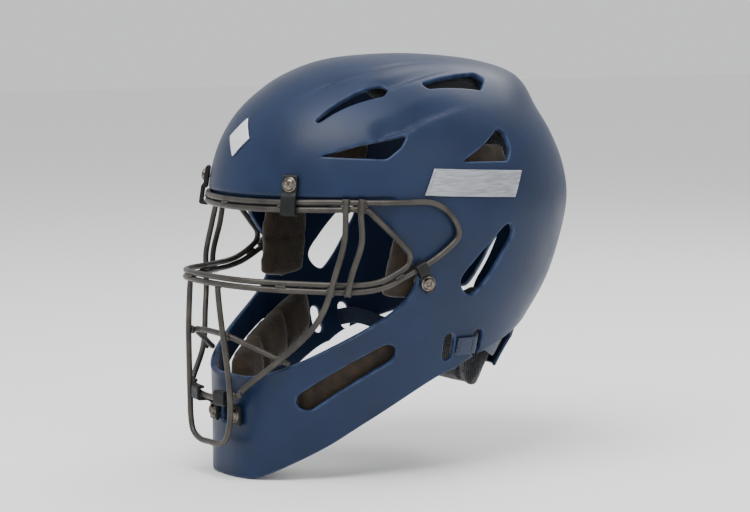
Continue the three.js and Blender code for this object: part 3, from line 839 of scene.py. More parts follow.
def tube(name, path, radius, closed, sides=18, ends=(0.55, 0.85, 0.97)):
    """A round wire along a path. Open ends are softly rounded."""
    tangent, side, other = path_frames(path, closed)
    radii = np.full(len(path), radius)
    if not closed:
        for i, part in enumerate(ends):
            radii[i] = radii[-1 - i] = radius * part
        for i in range(1, len(ends)):
            f = i * 0.35
            path[i] = path[0] + tangent[0] * f
            path[-1 - i] = path[-1] - tangent[-1] * f
    a = np.linspace(0, 2 * math.pi, sides, endpoint=False)
    rings = (path[:, None] + radii[:, None, None] * (side[:, None] * np.cos(a)[:, None]
             + other[:, None] * np.sin(a)[:, None]))
    count = len(path)
    faces = []
    for i in range(count if closed else count - 1):
        j = (i + 1) % count
        for k in range(sides):
            n = (k + 1) % sides
            faces.append((i * sides + k, i * sides + n, j * sides + n, j * sides + k))
    if not closed:
        faces.append(tuple(range(sides))[::-1])
        faces.append(tuple((count - 1) * sides + k for k in range(sides)))
    return link_object(name, mesh_from(name, rings.reshape(-1, 3), faces))


# %% The paths of the wires
WIRE = 4.2          # wire diameter
WIRE_OFF = 2.9      # the wire's centre above the shell
BROW_OFF = 0.2      # and in the brow step


def both_sides(centre, half):
    """A path that is the same on both sides: centre points first, then the left half."""
    half = [np.asarray(p, float) for p in half]
    return [p * [-1, 1, 1] for p in reversed(half)] + [np.asarray(p, float) for p in centre] + half


def brow_line(z0, z1):
    return [on_front(x, z0 + (z1 - z0) * (x / 95) ** 2, BROW_OFF) for x in (20, 40, 60, 78)]


wires = {}          # name: (path, closed)
outer_half = brow_line(5.5, 7.2) + [on_side(1, *p) for p in (
    (-82, 6.4, 0.7), (-71, 6.3, 1.8), (-58, 6.2, WIRE_OFF), (-36, 5.6, WIRE_OFF),
    (-25, 0, WIRE_OFF), (-16, -11, WIRE_OFF), (-15, -18, WIRE_OFF), (-21, -25, WIRE_OFF),
    (-36, -36, WIRE_OFF))] + [
    (101.6, -53, -45), (99.6, -66, -51), (95.5, -80, -54), (89.3, -92.5, -54.6),
    (82.5, -101.6, -54.6), (74, -112.6, -54.2), (58, -133, -53.2), (40, -147.4, -52.2),
    (20, -155, -51.5)]
inner_half = brow_line(0.7, 1.9) + [on_side(1, -78, 1, 1), on_side(1, -73, -4, 2.4)] + [
    (103, -57, -22), (103.8, -50.5, -30.5), (103.2, -51.5, -36.5), (101, -60, -42.6),
    (98.6, -71, -47.6), (94.6, -82, -49.6), (88.6, -93, -49.9), (82, -102, -49.8),
    (73.4, -113, -49.4), (57.6, -132.7, -48.5), (40, -147, -47.6), (20, -154.8, -46.8)]
wires["frame_wire_outer"] = (both_sides([on_front(0, 5.5, BROW_OFF)], outer_half)
                             + [(0, -157, -51.2)], True)
wires["frame_wire_inner"] = (both_sides([on_front(0, 0.7, BROW_OFF)], inner_half)
                             + [(0, -156.8, -46.5)], True)
for side, s in (("l", 1), ("r", -1)):
    wires["upright_wire_" + side] = ([on_side(s, -81, 9, 5.3), on_side(s, -82, 0, 5.3)] + [
        (s * x, y, z) for x, y, z in ((97.6, -86, -20), (96, -93, -42), (93.4, -95.4, -57))],
        False)
    wires["cheek_wire_" + side] = ([on_side(s, -90, 9, 5), on_side(s, -90.5, 0, 5)] + [
        (s * x, y, z) for x, y, z in (
            (91.6, -96.4, -20), (90, -102.5, -42), (86.4, -104.6, -55), (82, -107, -67),
            (74, -112.4, -81.5), (52, -126.6, -105), (38.4, -141, -121),
            (34.6, -145.6, -126.4))], False)
wires["chin_loop_wire"] = (both_sides([(0, -151.4, -165.6)], [
    (14, -151.4, -165.2), (23.6, -151.2, -160.6), (27.6, -150.8, -151), (28.8, -150.6, -137),
    (27.6, -151.8, -112), (24.4, -153.8, -87), (21.2, -154.8, -66), (19.6, -155, -54.3)]), False)
wires["mid_cross_wire"] = (both_sides([(0, -150, -87)], [
    (12, -149.8, -87.3), (24.4, -148, -88.6), (38, -134, -97), (50, -121.8, -104.6),
    (54, -117.6, -106.8)]), False)
wires["low_cross_wire"] = (both_sides([(0, -150.4, -133.5)], [
    (10, -150, -133.3), (19, -148.9, -132.4), (28.4, -146, -130), (31.6, -145.2, -129.2)]), False)
PATH_STEP = 1.5     # between points of a path
paths = {name: smooth_path(points, closed, PATH_STEP)
         for name, (points, closed) in wires.items()}
print(len(paths), "wires,", round(sum(len(p) for p in paths.values()) * PATH_STEP), "mm in all")

# %% [markdown]
# ### Powder-coated steel
#
# Powder coat is a baked layer of paint about a tenth of a millimetre thick. It hides the
# steel's shine under a satin gunmetal grey, pools a little, and has a fine orange peel. The
# grains are finer than a render can show, so they are drawn about one millimetre wide.

# %% The coat
def powder_coat(name, dark, light):
    material, tree, shader = new_material(name)
    cloud_grain = grain(tree, 14, 3.0)
    peel = grain(tree, 1.1, 2.0)
    shader.inputs["Metallic"].default_value = 0.35
    plug(tree, shader, {"Base Color": blend_colours(tree, cloud_grain.outputs["Fac"], dark, light),
                        "Roughness": spread(tree, peel.outputs["Fac"], 0.34, 0.5),
                        "Normal": bumped(tree, peel.outputs["Fac"], 0.05)})
    return material


STEEL_COAT = powder_coat("gunmetal_powder_coated_steel", "#2e2b28", "#413d38")
for name, (points, closed) in wires.items():
    piece = tube(name.replace("_wire", ""), paths[name].copy(), WIRE / 2, closed)
    piece.data.materials.append(STEEL_COAT)
    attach(piece, "helmet")
    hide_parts(name)
print("cage made")

# %% [markdown]
# ### Repeated parts: one Geometry Nodes tree
#
# Weld beads, screws, T-nuts and stitches are small parts that repeat along a path or over
# a surface. One node tree sets a copy of a part on every point. Each point carries which
# way is out and which way is along, so a screw stands square on its seat and a stitch lies
# along its seam. The tree ends in Realize Instances and Set Material, and the result is
# turned into a plain mesh.

# %% The tree
def make_repeat_tree():
    tree = bpy.data.node_groups.new("repeat_on_points", "GeometryNodeTree")
    face = tree.interface
    face.new_socket("Geometry", in_out="INPUT", socket_type="NodeSocketGeometry")
    for name, kind in (("Part", "NodeSocketObject"), ("Size", "NodeSocketFloat"),
                       ("Size Spread", "NodeSocketFloat"), ("Turn Spread", "NodeSocketFloat"),
                       ("Seed", "NodeSocketInt"), ("Material", "NodeSocketMaterial")):
        face.new_socket(name, in_out="INPUT", socket_type=kind)
    face.new_socket("Geometry", in_out="OUTPUT", socket_type="NodeSocketGeometry")
    entry = add_node(tree, "NodeGroupInput").outputs
    out_way = add_node(tree, "GeometryNodeInputNamedAttribute",
                       {"data_type": "FLOAT_VECTOR", "Name": "out"}).outputs["Attribute"]
    along_way = add_node(tree, "GeometryNodeInputNamedAttribute",
                         {"data_type": "FLOAT_VECTOR", "Name": "along"}).outputs["Attribute"]
    stand = add_node(tree, "FunctionNodeAlignRotationToVector", {"axis": "Z"},
                     {"Vector": out_way}).outputs["Rotation"]
    lie = add_node(tree, "FunctionNodeAlignRotationToVector", {"axis": "X", "pivot_axis": "Z"},
                   {"Rotation": stand, "Vector": along_way}).outputs["Rotation"]
    turn = add_node(tree, "FunctionNodeRandomValue", {"data_type": "FLOAT"})
    size = add_node(tree, "FunctionNodeRandomValue", {"data_type": "FLOAT"})
    for random, spread_name in ((turn, "Turn Spread"), (size, "Size Spread")):
        floats = [s for s in random.inputs if s.type == "VALUE"]
        tree.links.new(maths(tree, "MULTIPLY", entry[spread_name], -1.0), floats[0])
        tree.links.new(entry[spread_name], floats[1])
        tree.links.new(entry["Seed"], random.inputs["Seed"])
    turned = add_node(tree, "ShaderNodeCombineXYZ",
                      links={"Z": [s for s in turn.outputs if s.type == "VALUE"][0]})
    spin = add_node(tree, "FunctionNodeEulerToRotation", links={"Euler": turned.outputs[0]})
    rotation = add_node(tree, "FunctionNodeRotateRotation", {"rotation_space": "LOCAL"},
                        {"Rotation": lie, "Rotate By": spin.outputs["Rotation"]})
    grow = maths(tree, "MULTIPLY_ADD", [s for s in size.outputs if s.type == "VALUE"][0],
                 entry["Size"], entry["Size"])
    part = add_node(tree, "GeometryNodeObjectInfo", links={"Object": entry["Part"]})
    copies = add_node(tree, "GeometryNodeInstanceOnPoints", links={
        "Points": entry["Geometry"], "Instance": part.outputs["Geometry"],
        "Rotation": rotation.outputs["Rotation"], "Scale": grow})
    real = add_node(tree, "GeometryNodeRealizeInstances",
                    links={"Geometry": copies.outputs["Instances"]})
    painted = add_node(tree, "GeometryNodeSetMaterial", links={
        "Geometry": real.outputs["Geometry"], "Material": entry["Material"]})
    leave = add_node(tree, "NodeGroupOutput")
    tree.links.new(painted.outputs["Geometry"], leave.inputs["Geometry"])
    return tree


REPEAT = make_repeat_tree()


def repeat_part(name, part, points, outs, alongs, material, size=1.0, size_spread=0.0,
                turn_spread=0.0, seed=7):
    """A plain mesh with a copy of a part (a mesh in metres) at every point."""
    template = bpy.data.objects.new(name + "_template", part)
    mesh = bpy.data.meshes.new(name + "_points")
    mesh.from_pydata((np.asarray(points, float) * MM).tolist(), [], [])
    for label, values in (("out", outs), ("along", alongs)):
        layer = mesh.attributes.new(label, "FLOAT_VECTOR", "POINT")
        layer.data.foreach_set("vector", np.asarray(values, np.float32).ravel())
    holder = link_object(name + "_points", mesh)
    modifier = holder.modifiers.new("repeat", "NODES")
    modifier.node_group = REPEAT
    sockets = {s.name: s.identifier for s in REPEAT.interface.items_tree
               if s.item_type == "SOCKET" and s.in_out == "INPUT"}
    for label, value in (("Part", template), ("Size", size), ("Size Spread", size_spread),
                         ("Turn Spread", turn_spread), ("Seed", seed), ("Material", material)):
        modifier[sockets[label]] = value
    graph = bpy.context.evaluated_depsgraph_get()
    result = bpy.data.meshes.new_from_object(holder.evaluated_get(graph))
    result.name = name
    for label in ("out", "along"):
        if label in result.attributes:
            result.attributes.remove(result.attributes[label])
    bpy.data.objects.remove(holder)
    bpy.data.objects.remove(template)
    result.polygons.foreach_set("use_smooth", [True] * len(result.polygons))
    piece = link_object(name, result)
    print(name + ":", len(points), "copies,", len(result.polygons), "faces")
    return piece


# %% Weld beads where two wires touch
def find_welds(reach=5.6, longest=16.0, tack_gap=46.0):
    """Middle of each joint, the way from wire to wire, and both wires' directions."""
    found = []
    names = list(paths)
    for i, first_name in enumerate(names):
        a = paths[first_name]
        ta = path_frames(a, wires[first_name][1])[0]
        for second_name in names[i + 1:]:
            b = paths[second_name]
            tb = path_frames(b, wires[second_name][1])[0]
            tree = kd_tree(b)
            hits = [tree.find(p) for p in a]
            gap = np.array([h[2] for h in hits])
            near = np.flatnonzero(gap < reach)
            for run in np.split(near, np.flatnonzero(np.diff(near) > 2) + 1):
                if not len(run):
                    continue
                if len(run) * PATH_STEP > longest:
                    count = max(int(len(run) * PATH_STEP / tack_gap), 2)
                    picks = [run[int(f)] for f in np.linspace(2, len(run) - 3, count)]
                else:
                    picks = [run[np.argmin(gap[run])]]
                for k in picks:
                    j = hits[k][1]
                    way = b[j] - a[k]
                    found.append(((a[k] + b[j]) / 2, way / np.linalg.norm(way), ta[k], tb[j]))
    return found


bead_mesh = bmesh.new()
bmesh.ops.create_icosphere(bead_mesh, subdivisions=2, radius=MM)
for v in bead_mesh.verts:
    v.co.z *= 0.8
bead = bpy.data.meshes.new("bead")
bead_mesh.to_mesh(bead)
bead_mesh.free()
bead_at, bead_out, bead_along = [], [], []
for middle, way, ta, tb in find_welds():
    if abs(ta @ tb) > 0.93:         # side by side: a short row of beads on both faces
        cross = np.cross(way, ta)
        spots = [middle + s * cross + d * ta for s in (-1, 1) for d in (-2.4, -0.8, 0.8, 2.4)]
    else:                           # crossing: a bead in each corner and one between
        tb = tb * np.sign(ta @ tb + 1e-9)
        corners_at = [ta + tb, ta - tb, -ta + tb, -ta - tb]
        spots = [middle] + [middle + 1.9 * c / np.linalg.norm(c) for c in corners_at]
    for spot in spots:
        bead_at.append(spot)
        bead_out.append(way)
        bead_along.append(ta)
welds = repeat_part("weld_beads", bead, bead_at, bead_out, bead_along, STEEL_COAT, 1.6, 0.1, 1.5)
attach(welds, "helmet")

# %% [markdown]
# ## Clips, screws and T-nuts
#
# The cage isn't fixed for good. Six moulded nylon clips hook over the wires, and each is
# held by one screw into a steel T-nut inside the shell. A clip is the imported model's
# profile, given width and rolled edges. A screw head is turned on a lathe and its cross
# recess is pressed in, point by point.

# %% Glass-filled nylon and zinc-plated steel
def textured_nylon(name, dark, light):
    material, tree, shader = new_material(name)
    texture = grain(tree, 0.7, 3.0)         # a fine spark-eroded mould texture
    shader.inputs["IOR"].default_value = 1.53
    shader.inputs["Specular IOR Level"].default_value = 0.25
    plug(tree, shader, {"Base Color": blend_colours(tree, texture.outputs["Fac"], dark, light),
                        "Roughness": spread(tree, grain(tree, 6, 2.0).outputs["Fac"], 0.42, 0.6),
                        "Normal": bumped(tree, texture.outputs["Fac"], 0.06)})
    return material


def plated_steel(name, dark, light):
    material, tree, shader = new_material(name)
    haze = grain(tree, 2.2, 4.0)
    shader.inputs["Metallic"].default_value = 1.0
    plug(tree, shader, {"Base Color": blend_colours(tree, haze.outputs["Fac"], dark, light),
                        "Roughness": spread(tree, haze.outputs["Fac"], 0.26, 0.46),
                        "Normal": bumped(tree, grain(tree, 0.4, 2.0).outputs["Fac"], 0.02)})
    return material


NYLON = textured_nylon("black_glass_filled_nylon", "#08090a", "#131416")
PLATED = plated_steel("zinc_plated_steel", "#57504a", "#847c73")


def seat_matrix(name, s):
    """Columns across, up, out and the seat's point, in millimetres, for one side."""
    point, out_way = seats[name]
    point, out_way = point * [s, 1, 1], out_way * [s, 1, 1]
    up = {"brow": (0, 0, 1), "side": (0, 0.49, -0.87), "chin": (0, 0, -1)}[name]
    across = np.cross(up, out_way)
    across /= np.linalg.norm(across)
    return np.stack([across, np.cross(out_way, across), out_way], 1), point


def clip_outline(near, far, arm, low):
    """A clip's profile as [away from the screw, out]: a foot, then a hook over the wires."""
    return [[-7, 2], [-6, 0.9], [near, 0.9], [near, arm], [far, arm], [far, low],
            [far + 2, low], [far + 2, arm + 1.6], [far + 1, arm + 2.6], [near - 1, arm + 2.6],
            [near - 3.6, 4], [-6, 4], [-7, 3]]


CHIN_OUTLINE = [[-7, 2], [-6, 1], [6.2, 1], [10.3, 9.5], [10.3, 15.8], [16.6, 15.8],
                [16.6, 12.4], [18.8, 12.4], [18.8, 16.8], [17.6, 18], [9.4, 18], [8, 16.6],
                [8, 10.4], [5, 3.7], [-6, 3.7], [-7, 3]]
CLIPS = {"brow": (11, clip_outline(9.2, 19.4, 2.9, -1.4)),
         "side": (8, clip_outline(9.9, 15.3, 6, 1.4)), "chin": (12, CHIN_OUTLINE)}


def apply_modifiers(obj):
    """Turn an object's modifiers into its mesh."""
    graph = bpy.context.evaluated_depsgraph_get()
    mesh = bpy.data.meshes.new_from_object(obj.evaluated_get(graph))
    obj.modifiers.clear()
    old, obj.data = obj.data, mesh
    bpy.data.meshes.remove(old)


def make_clip(name, kind, s):
    width, outline = CLIPS[kind]
    turn, point = seat_matrix(kind, s)
    profile = eased(outline, True, 0.7, 0.9)[:-1]
    count = len(profile)
    vertices = [turn @ [x, -along, out] + point
                for x in (-width / 2, width / 2) for along, out in profile]
    faces = [list(range(count)), list(range(count, 2 * count))[::-1]]
    faces += [(i, i + count, (i + 1) % count + count, (i + 1) % count) for i in range(count)]
    clip = link_object(name, mesh_from(name, vertices, faces), NYLON)
    face_outward(clip.data)
    bevel = clip.modifiers.new("rolled edges", "BEVEL")
    bevel.width, bevel.segments, bevel.limit_method = 0.55 * MM, 3, "ANGLE"
    bevel.angle_limit = math.radians(50)
    bevel.harden_normals = True
    apply_modifiers(clip)
    return clip


for kind in CLIPS:
    for side, s in (("l", 1), ("r", -1)):
        clip = make_clip(f"clip_{kind}_{side}_form", kind, s)
        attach(clip, "helmet")
        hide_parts(f"clip_{kind}_{side}")
print("six clips")


# %% Screws and T-nuts
def turned(profile, segments=40, press=None):
    """A shape turned on a lathe from [radius, height] in millimetres, as a mesh in metres."""
    a = np.linspace(0, 2 * math.pi, segments, endpoint=False)
    vertices, rows = [], []
    for r, h in profile:
        start = len(vertices)
        spots = [(0, 0)] if r == 0 else [(r * math.cos(k), r * math.sin(k)) for k in a]
        vertices += [(x, y, h - (press(x, y, h) if press else 0)) for x, y in spots]
        rows.append(list(range(start, len(vertices))))
    faces = []
    for low, high in zip(rows, rows[1:]):
        for i in range(segments):
            n = (i + 1) % segments
            quad = [low[i % len(low)], low[n % len(low)], high[n % len(high)], high[i % len(high)]]
            faces.append(list(dict.fromkeys(quad)))
    mesh = mesh_from("turned", vertices, faces)
    face_outward(mesh)
    return mesh


def cross_recess(x, y, h):
    """The depth of a cross-shaped driver recess in a screw head."""
    arm = min(max(abs(x) / 0.55, abs(y) / 2.1), max(abs(x) / 2.1, abs(y) / 0.55))
    return 1.1 * float(ease((1.25 - arm) / 0.5)) if h > 1.2 else 0.0


head = [[0, -0.45], [5.0, -0.45], [5.2, -0.3], [5.2, -0.1], [5.0, 0.02], [3.9, 0.02],
        [4.1, 0.25], [4.05, 0.8]]
head += [[3.95 * math.cos(a), 0.8 + 1.5 * math.sin(a)] for a in np.linspace(0.1, 1.2, 8)]
head += [[r, 2.3 - 0.05 * r * r] for r in np.linspace(1.4, 0.15, 9)] + [[0, 2.3]]
screw_part = turned(head, 48, cross_recess)
shank_part = turned([[0, -10.4], [1.5, -10.4], [1.9, -10.0]] + [
    [1.9 - 0.22 * (k % 2), -9.9 + 0.4 * k] for k in range(20)] + [[1.9, -1.6], [1.9, -0.4], [0, -0.4]], 24)
nut_part = turned([[2.4, -0.9], [2.4, -6.7], [2.6, -6.9], [6.3, -6.9], [6.5, -6.7], [6.5, -5.9],
                   [6.3, -5.7], [3.2, -5.7], [3.0, -5.5], [3.0, -1.1], [2.8, -0.9], [2.4, -0.9]], 32)
spots = [(kind, s, *seat_matrix(kind, s)) for kind in CLIPS for s in (1, -1)]
head_at = [point + turn[:, 2] * (4.1 if kind == "chin" else 4.4) for kind, s, turn, point in spots]
outs = [turn[:, 2] for _, _, turn, _ in spots]
alongs = [turn[:, 0] for _, _, turn, _ in spots]
names = [f"{kind}_{side}" for kind in CLIPS for side in "lr"]
for label, part, at, nodes, turn_spread in (
        ("screw_heads", screw_part, head_at, ["screw_" + n for n in names], 1.5),
        ("screw_shanks", shank_part, head_at, [], 0.0),
        ("t_nuts", nut_part, [p for _, _, _, p in spots], ["t_nut_" + n for n in names], 0.0)):
    piece = repeat_part(label, part, at, outs, alongs, PLATED, 1.0, 0.0, turn_spread)
    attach(piece, "helmet")
    if nodes:
        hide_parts(*nodes)

# %% [markdown]
# ## The back plate
#
# A second moulding in the same ABS hangs behind the head on elastic straps. Its tongue
# slides under the shell and its wings grip the nape. It is a thin curved sheet, so it is
# built as a slab: layers of one surface patch, the outer ones drawn in a little so that the
# edges roll over. The same slab rule makes the straps, the badges and the pads.

# %% Slabs
def patch(nu, nv, corner=0.0):
    """Grid values u and v from -1 to 1, as rows. A corner value draws in the corners."""
    u, v = np.meshgrid(np.linspace(-1, 1, nu + 1), np.linspace(-1, 1, nv + 1))
    return u * (1 - corner * v * v), v * (1 - corner * u * u)


def slab(name, form, nu, nv, layers, corner=0.0):
    """A closed mesh through layers [offset, size u, size v] of a patch, with its u and v."""
    u, v = patch(nu, nv, corner)
    points = np.vstack([form(u.ravel() * su, v.ravel() * sv, np.full(u.size, off))
                        for off, su, sv in layers])
    across = nu + 1
    size = u.size
    top = (len(layers) - 1) * size
    faces = []
    for j in range(nv):
        for i in range(nu):
            a = j * across + i
            faces.append((a, a + 1, a + across + 1, a + across))
            faces.append((top + a + across, top + a + across + 1, top + a + 1, top + a))
    edge = [i for i in range(nu)] + [j * across + nu for j in range(nv)]
    edge += [nv * across + i for i in range(nu, 0, -1)] + [j * across for j in range(nv, 0, -1)]
    for k in range(len(layers) - 1):
        for a, b in zip(edge, edge[1:] + edge[:1]):
            faces.append((k * size + b, k * size + a, (k + 1) * size + a, (k + 1) * size + b))
    mesh = mesh_from(name, points, faces)
    form_mesh = bmesh.new()
    form_mesh.from_mesh(mesh)
    if form_mesh.calc_volume(signed=True) < 0:
        bmesh.ops.reverse_faces(form_mesh, faces=form_mesh.faces)
    form_mesh.to_mesh(mesh)
    form_mesh.free()
    for label, values in (("along_u", u), ("along_v", v)):
        store(mesh, label, np.tile(values.ravel(), len(layers)))
    return link_object(name, mesh)


def rolled_layers(top, bottom, radius, half_u, half_v, steps=5):
    """Layers of a slab whose edges roll over with a radius."""
    a = np.linspace(0, math.pi / 2, steps)
    down = [(top - radius * (1 - math.sin(k)), radius * (1 - math.cos(k))) for k in a[::-1]]
    up = [(bottom + radius * (1 - math.sin(k)), radius * (1 - math.cos(k))) for k in a]
    return [[off, 1 - inset / half_u, 1 - inset / half_v] for off, inset in down + up]


# %% The plate
PLATE_OUT, PLATE_WALL, WING_OUT = -9.3, 3.0, 9.0
GROOVE_HEIGHTS, GROOVE_DEPTH = (-98, -106, -114), 0.8


def mixed(a, b, f):
    return a + (b - a) * f


def plate_half(z):
    """Half the plate's width: a tongue above, wings below."""
    return np.where(z > -84, mixed(24, 28, (-6 - z) / 78),
                    mixed(28, 59, np.clip((-84 - z) / 17, 0, 1) ** 1.6))


def wing(z):
    return WING_OUT * ease((-72 - z) / 24)


def plate_form(u, v, off):
    z = -66 + np.where(v > 0, v * 60, v * 58)
    x = u * plate_half(z)
    groove = 0.0
    for height in GROOVE_HEIGHTS:
        across = ease((2.4 - np.abs(z - height)) / 1.6)
        groove = groove + GROOVE_DEPTH * across * ease((44 - np.abs(x)) / 4)
    outer_face = off > PLATE_OUT - 0.9
    return on_rear(x, z, off + wing(z) - np.where(outer_face, groove, 0))


plate = slab("back_plate_form", plate_form, 60, 84,
             rolled_layers(PLATE_OUT, PLATE_OUT - PLATE_WALL, 1.1, 34, 60), 0.04)
plate.data.materials.append(NAVY_ABS)
store(plate.data, "wear", np.zeros(len(plate.data.vertices)))
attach(plate, "back_plate")
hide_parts("back_plate")
print("back plate:", len(plate.data.polygons), "faces")

# %% [markdown]
# ## The pads
#
# Every pad is a block of foam sewn into a cloth cover and held by hook tape. Foam swells
# its cover between the seams. That is what a cloth simulation with a little inner pressure
# gives, so each pad starts as a slab slightly smaller than its place, is remeshed to even
# cells, blown up for twenty frames, and kept from moving more than a few millimetres. The
# sewn channels are pressed in after that, and the stitches follow with the repeat tree.

# %% Air mesh and brushed cloth
def air_mesh(name, dark, light, hole):
    """Knitted spacer mesh: rows of small round holes through a matt cloth."""
    material, tree, shader = new_material(name)
    cells = add_node(tree, "ShaderNodeTexVoronoi", {"Scale": 1 / (hole * MM), "Randomness": 0.25},
                     {"Vector": object_coordinates(tree)})
    lift = spread(tree, cells.outputs["Distance"], 0.0, 1.0, 0.12, 0.5)
    fuzz = grain(tree, 0.6, 3.0)
    shader.inputs["Sheen Weight"].default_value = 0.25
    shader.inputs["Sheen Roughness"].default_value = 0.5
    holes = bumped(tree, lift, 0.6)
    plug(tree, shader, {"Base Color": blend_colours(tree, lift, dark, light, 0.1, 0.9),
                        "Roughness": spread(tree, fuzz.outputs["Fac"], 0.78, 0.95),
                        "Normal": bumped(tree, fuzz.outputs["Fac"], 0.15, holes)})
    return material


def brushed_tricot(name, dark, light):
    """Brushed tricot: a short nap that lies in patches and catches the light at its edge."""
    material, tree, shader = new_material(name)
    nap = grain(tree, 0.8, 4.0, roughness=0.65)
    lie = grain(tree, 9, 3.0)
    tone = maths(tree, "MULTIPLY_ADD", nap.outputs["Fac"], 0.6,
                 spread(tree, lie.outputs["Fac"], 0.0, 0.4))
    shader.inputs["Roughness"].default_value = 0.92
    shader.inputs["Sheen Weight"].default_value = 0.4
    shader.inputs["Sheen Roughness"].default_value = 0.4
    plug(tree, shader, {"Base Color": blend_colours(tree, tone, dark, light, 0.25, 0.75),
                        "Normal": bumped(tree, nap.outputs["Fac"], 0.35)})
    return material


BLACK_MESH = air_mesh("black_polyester_air_mesh", "#0c0c0d", "#242527", 2.2)
BROWN_TRICOT = brushed_tricot("brown_brushed_tricot", "#18120d", "#3a2c1d")
THREAD = brushed_tricot("black_nylon_thread", "#101011", "#2a2a2c")


# %% Swell a pad
PAD_CELL = 4.5          # cells of the cover before it is smoothed
SWELL_LIMIT = 2.6       # how far a point of the cover may move
PRESSURE, SWELL_FRAMES = 4.0, 20
CHANNEL_DEPTH, CHANNEL_WIDTH = 2.2, 2.6
SEAM_U, SEAM_V = 0.74, 0.72     # where the seam runs, as a share of the pad
STITCH_GAP = 4.6


def point_places(mesh):
    """The places of a mesh's points, in metres, as rows."""
    co = np.empty(len(mesh.vertices) * 3)
    mesh.vertices.foreach_get("co", co)
    return co.reshape(-1, 3)


def swell(obj):
    """Remesh to even cells, blow the cover up a little, and smooth it once."""
    remesh = obj.modifiers.new("even cells", "REMESH")
    remesh.mode, remesh.voxel_size = "VOXEL", PAD_CELL * MM
    apply_modifiers(obj)
    start = point_places(obj.data)
    cloth = obj.modifiers.new("cover", "CLOTH")
    cloth.settings.use_pressure = True
    cloth.settings.uniform_pressure_force = PRESSURE
    cloth.settings.effector_weights.gravity = 0
    cloth.settings.tension_stiffness = 20
    cloth.settings.bending_stiffness = 1.5
    cloth.point_cache.frame_start, cloth.point_cache.frame_end = 1, SWELL_FRAMES
    for f in range(1, SWELL_FRAMES + 1):
        bpy.context.scene.frame_set(f)
    apply_modifiers(obj)
    bpy.context.scene.frame_set(1)
    move = point_places(obj.data) - start
    far = np.linalg.norm(move, axis=1, keepdims=True)
    move *= np.minimum(1, SWELL_LIMIT * MM / np.maximum(far, 1e-9))
    obj.data.vertices.foreach_set("co", (start + move).ravel())
    smooth = obj.modifiers.new("smooth", "SUBSURF")
    smooth.levels = smooth.render_levels = 1
    apply_modifiers(obj)
    obj.data.polygons.foreach_set("use_smooth", [True] * len(obj.data.polygons))


stitch_part = turned([[0, -1.5]] + [[0.42 * math.sin(k), -1.5 * math.cos(k)]
                     for k in np.linspace(0.35, math.pi - 0.35, 6)] + [[0, 1.5]], 8)
stitch_part.transform(Matrix.Rotation(math.pi / 2, 4, "Y"))       # the thread lies along X


def stitch_row(points, outs, gap):
    """Even places along a row, with the way out and the way along at each."""
    length = lengths_along(points)
    at = np.arange(gap / 2, length[-1], gap)
    place = points_at(at, length, points)
    return place, points_at(at, length, outs), np.gradient(place, axis=0)


def ray_to(obj, point, way):
    """Does a line from a point, in millimetres, hit a mesh, and where and at what normal."""
    hit, place, face_normal, _ = obj.ray_cast(Vector(point * MM), Vector(way))
    return hit, np.array(place) / MM, np.array(face_normal)


def make_pad(name, form, thick, material, slot, body="helmet", start=-7.6, grid=(24, 12),
             channels_u=(), channels_v=()):
    """A sewn foam pad. The form maps u, v and an offset to points. Its stitch rows are returned."""
    mid = start - 0.5 * thick
    layers = [[start - 0.3, 0.88, 0.86], [start - 0.14 * thick, 0.95, 0.94],
              [start - 0.34 * thick, 0.985, 0.98], [start - 0.6 * thick, 0.97, 0.96],
              [start - 0.82 * thick, 0.9, 0.88], [start - 0.93 * thick, 0.8, 0.77]]
    pad = slab(name, form, grid[0], grid[1], layers, 0.07)
    swell(pad)
    co = point_places(pad.data) / MM
    count = len(co)
    u, v = patch(40, 40)
    chart = form(u.ravel(), v.ravel(), np.full(u.size, mid))
    tree = kd_tree(chart)
    near = np.array([tree.find(p)[1] for p in co])
    pu, pv = u.ravel()[near], v.ravel()[near]
    nearest = form(pu, pv, np.full(count, mid))
    inward = nearest - form(pu, pv, np.full(count, mid + 1))       # towards the head
    side = np.sum((co - nearest) * inward, 1)
    spans = [np.linalg.norm(form(np.array([a]), np.array([b]), np.array([mid]))
             - form(np.array([-a]), np.array([-b]), np.array([mid]))) / 2 for a, b in ((1, 0), (0, 1))]
    depth = np.zeros(count)
    for lines, value, span in ((channels_u, pu, spans[0]), (channels_v, pv, spans[1])):
        for line in lines:
            from_line = (value - line) * span / CHANNEL_WIDTH
            depth += CHANNEL_DEPTH * np.exp(-from_line ** 2) * (side > 0)
    pad.data.vertices.foreach_set("co", ((co - inward * depth[:, None]) * MM).ravel())
    pad.data.update()
    pad.data.materials.append(material)
    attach(pad, body)
    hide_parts(name.replace("_cover", ""))
    # The seam runs round the face that touches the head.
    w = np.linspace(-SEAM_U, SEAM_U, 40)
    low, high = np.full(40, -1.0), np.full(40, 1.0)
    loop_u = np.r_[w, high * SEAM_U, w[::-1], low * SEAM_U]
    loop_v = np.r_[low * SEAM_V, w * SEAM_V / SEAM_U, high * SEAM_V, w[::-1] * SEAM_V / SEAM_U]
    rows = [(loop_u, loop_v)]
    rows += [(np.full(30, line), np.linspace(-0.7, 0.7, 30)) for line in channels_u]
    rows += [(np.linspace(-0.7, 0.7, 30), np.full(30, line)) for line in channels_v]
    found = []
    for ru, rv in rows:
        spots, ways = [], []
        aim = form(ru, rv, np.full(len(ru), start - thick - 6.0))
        back = form(ru, rv, np.full(len(ru), mid))
        for p, q in zip(aim, back):
            way = (q - p) / np.linalg.norm(q - p)
            hit, place, face_normal = ray_to(pad, p, way)
            if hit:
                spots.append(place)
                ways.append(face_normal)
        if len(spots) > 3:
            found.append(stitch_row(np.array(spots), np.array(ways), STITCH_GAP))
    return found


# %% Where each pad goes
def between(a, b, u):
    return a + (b - a) * (u + 1) / 2


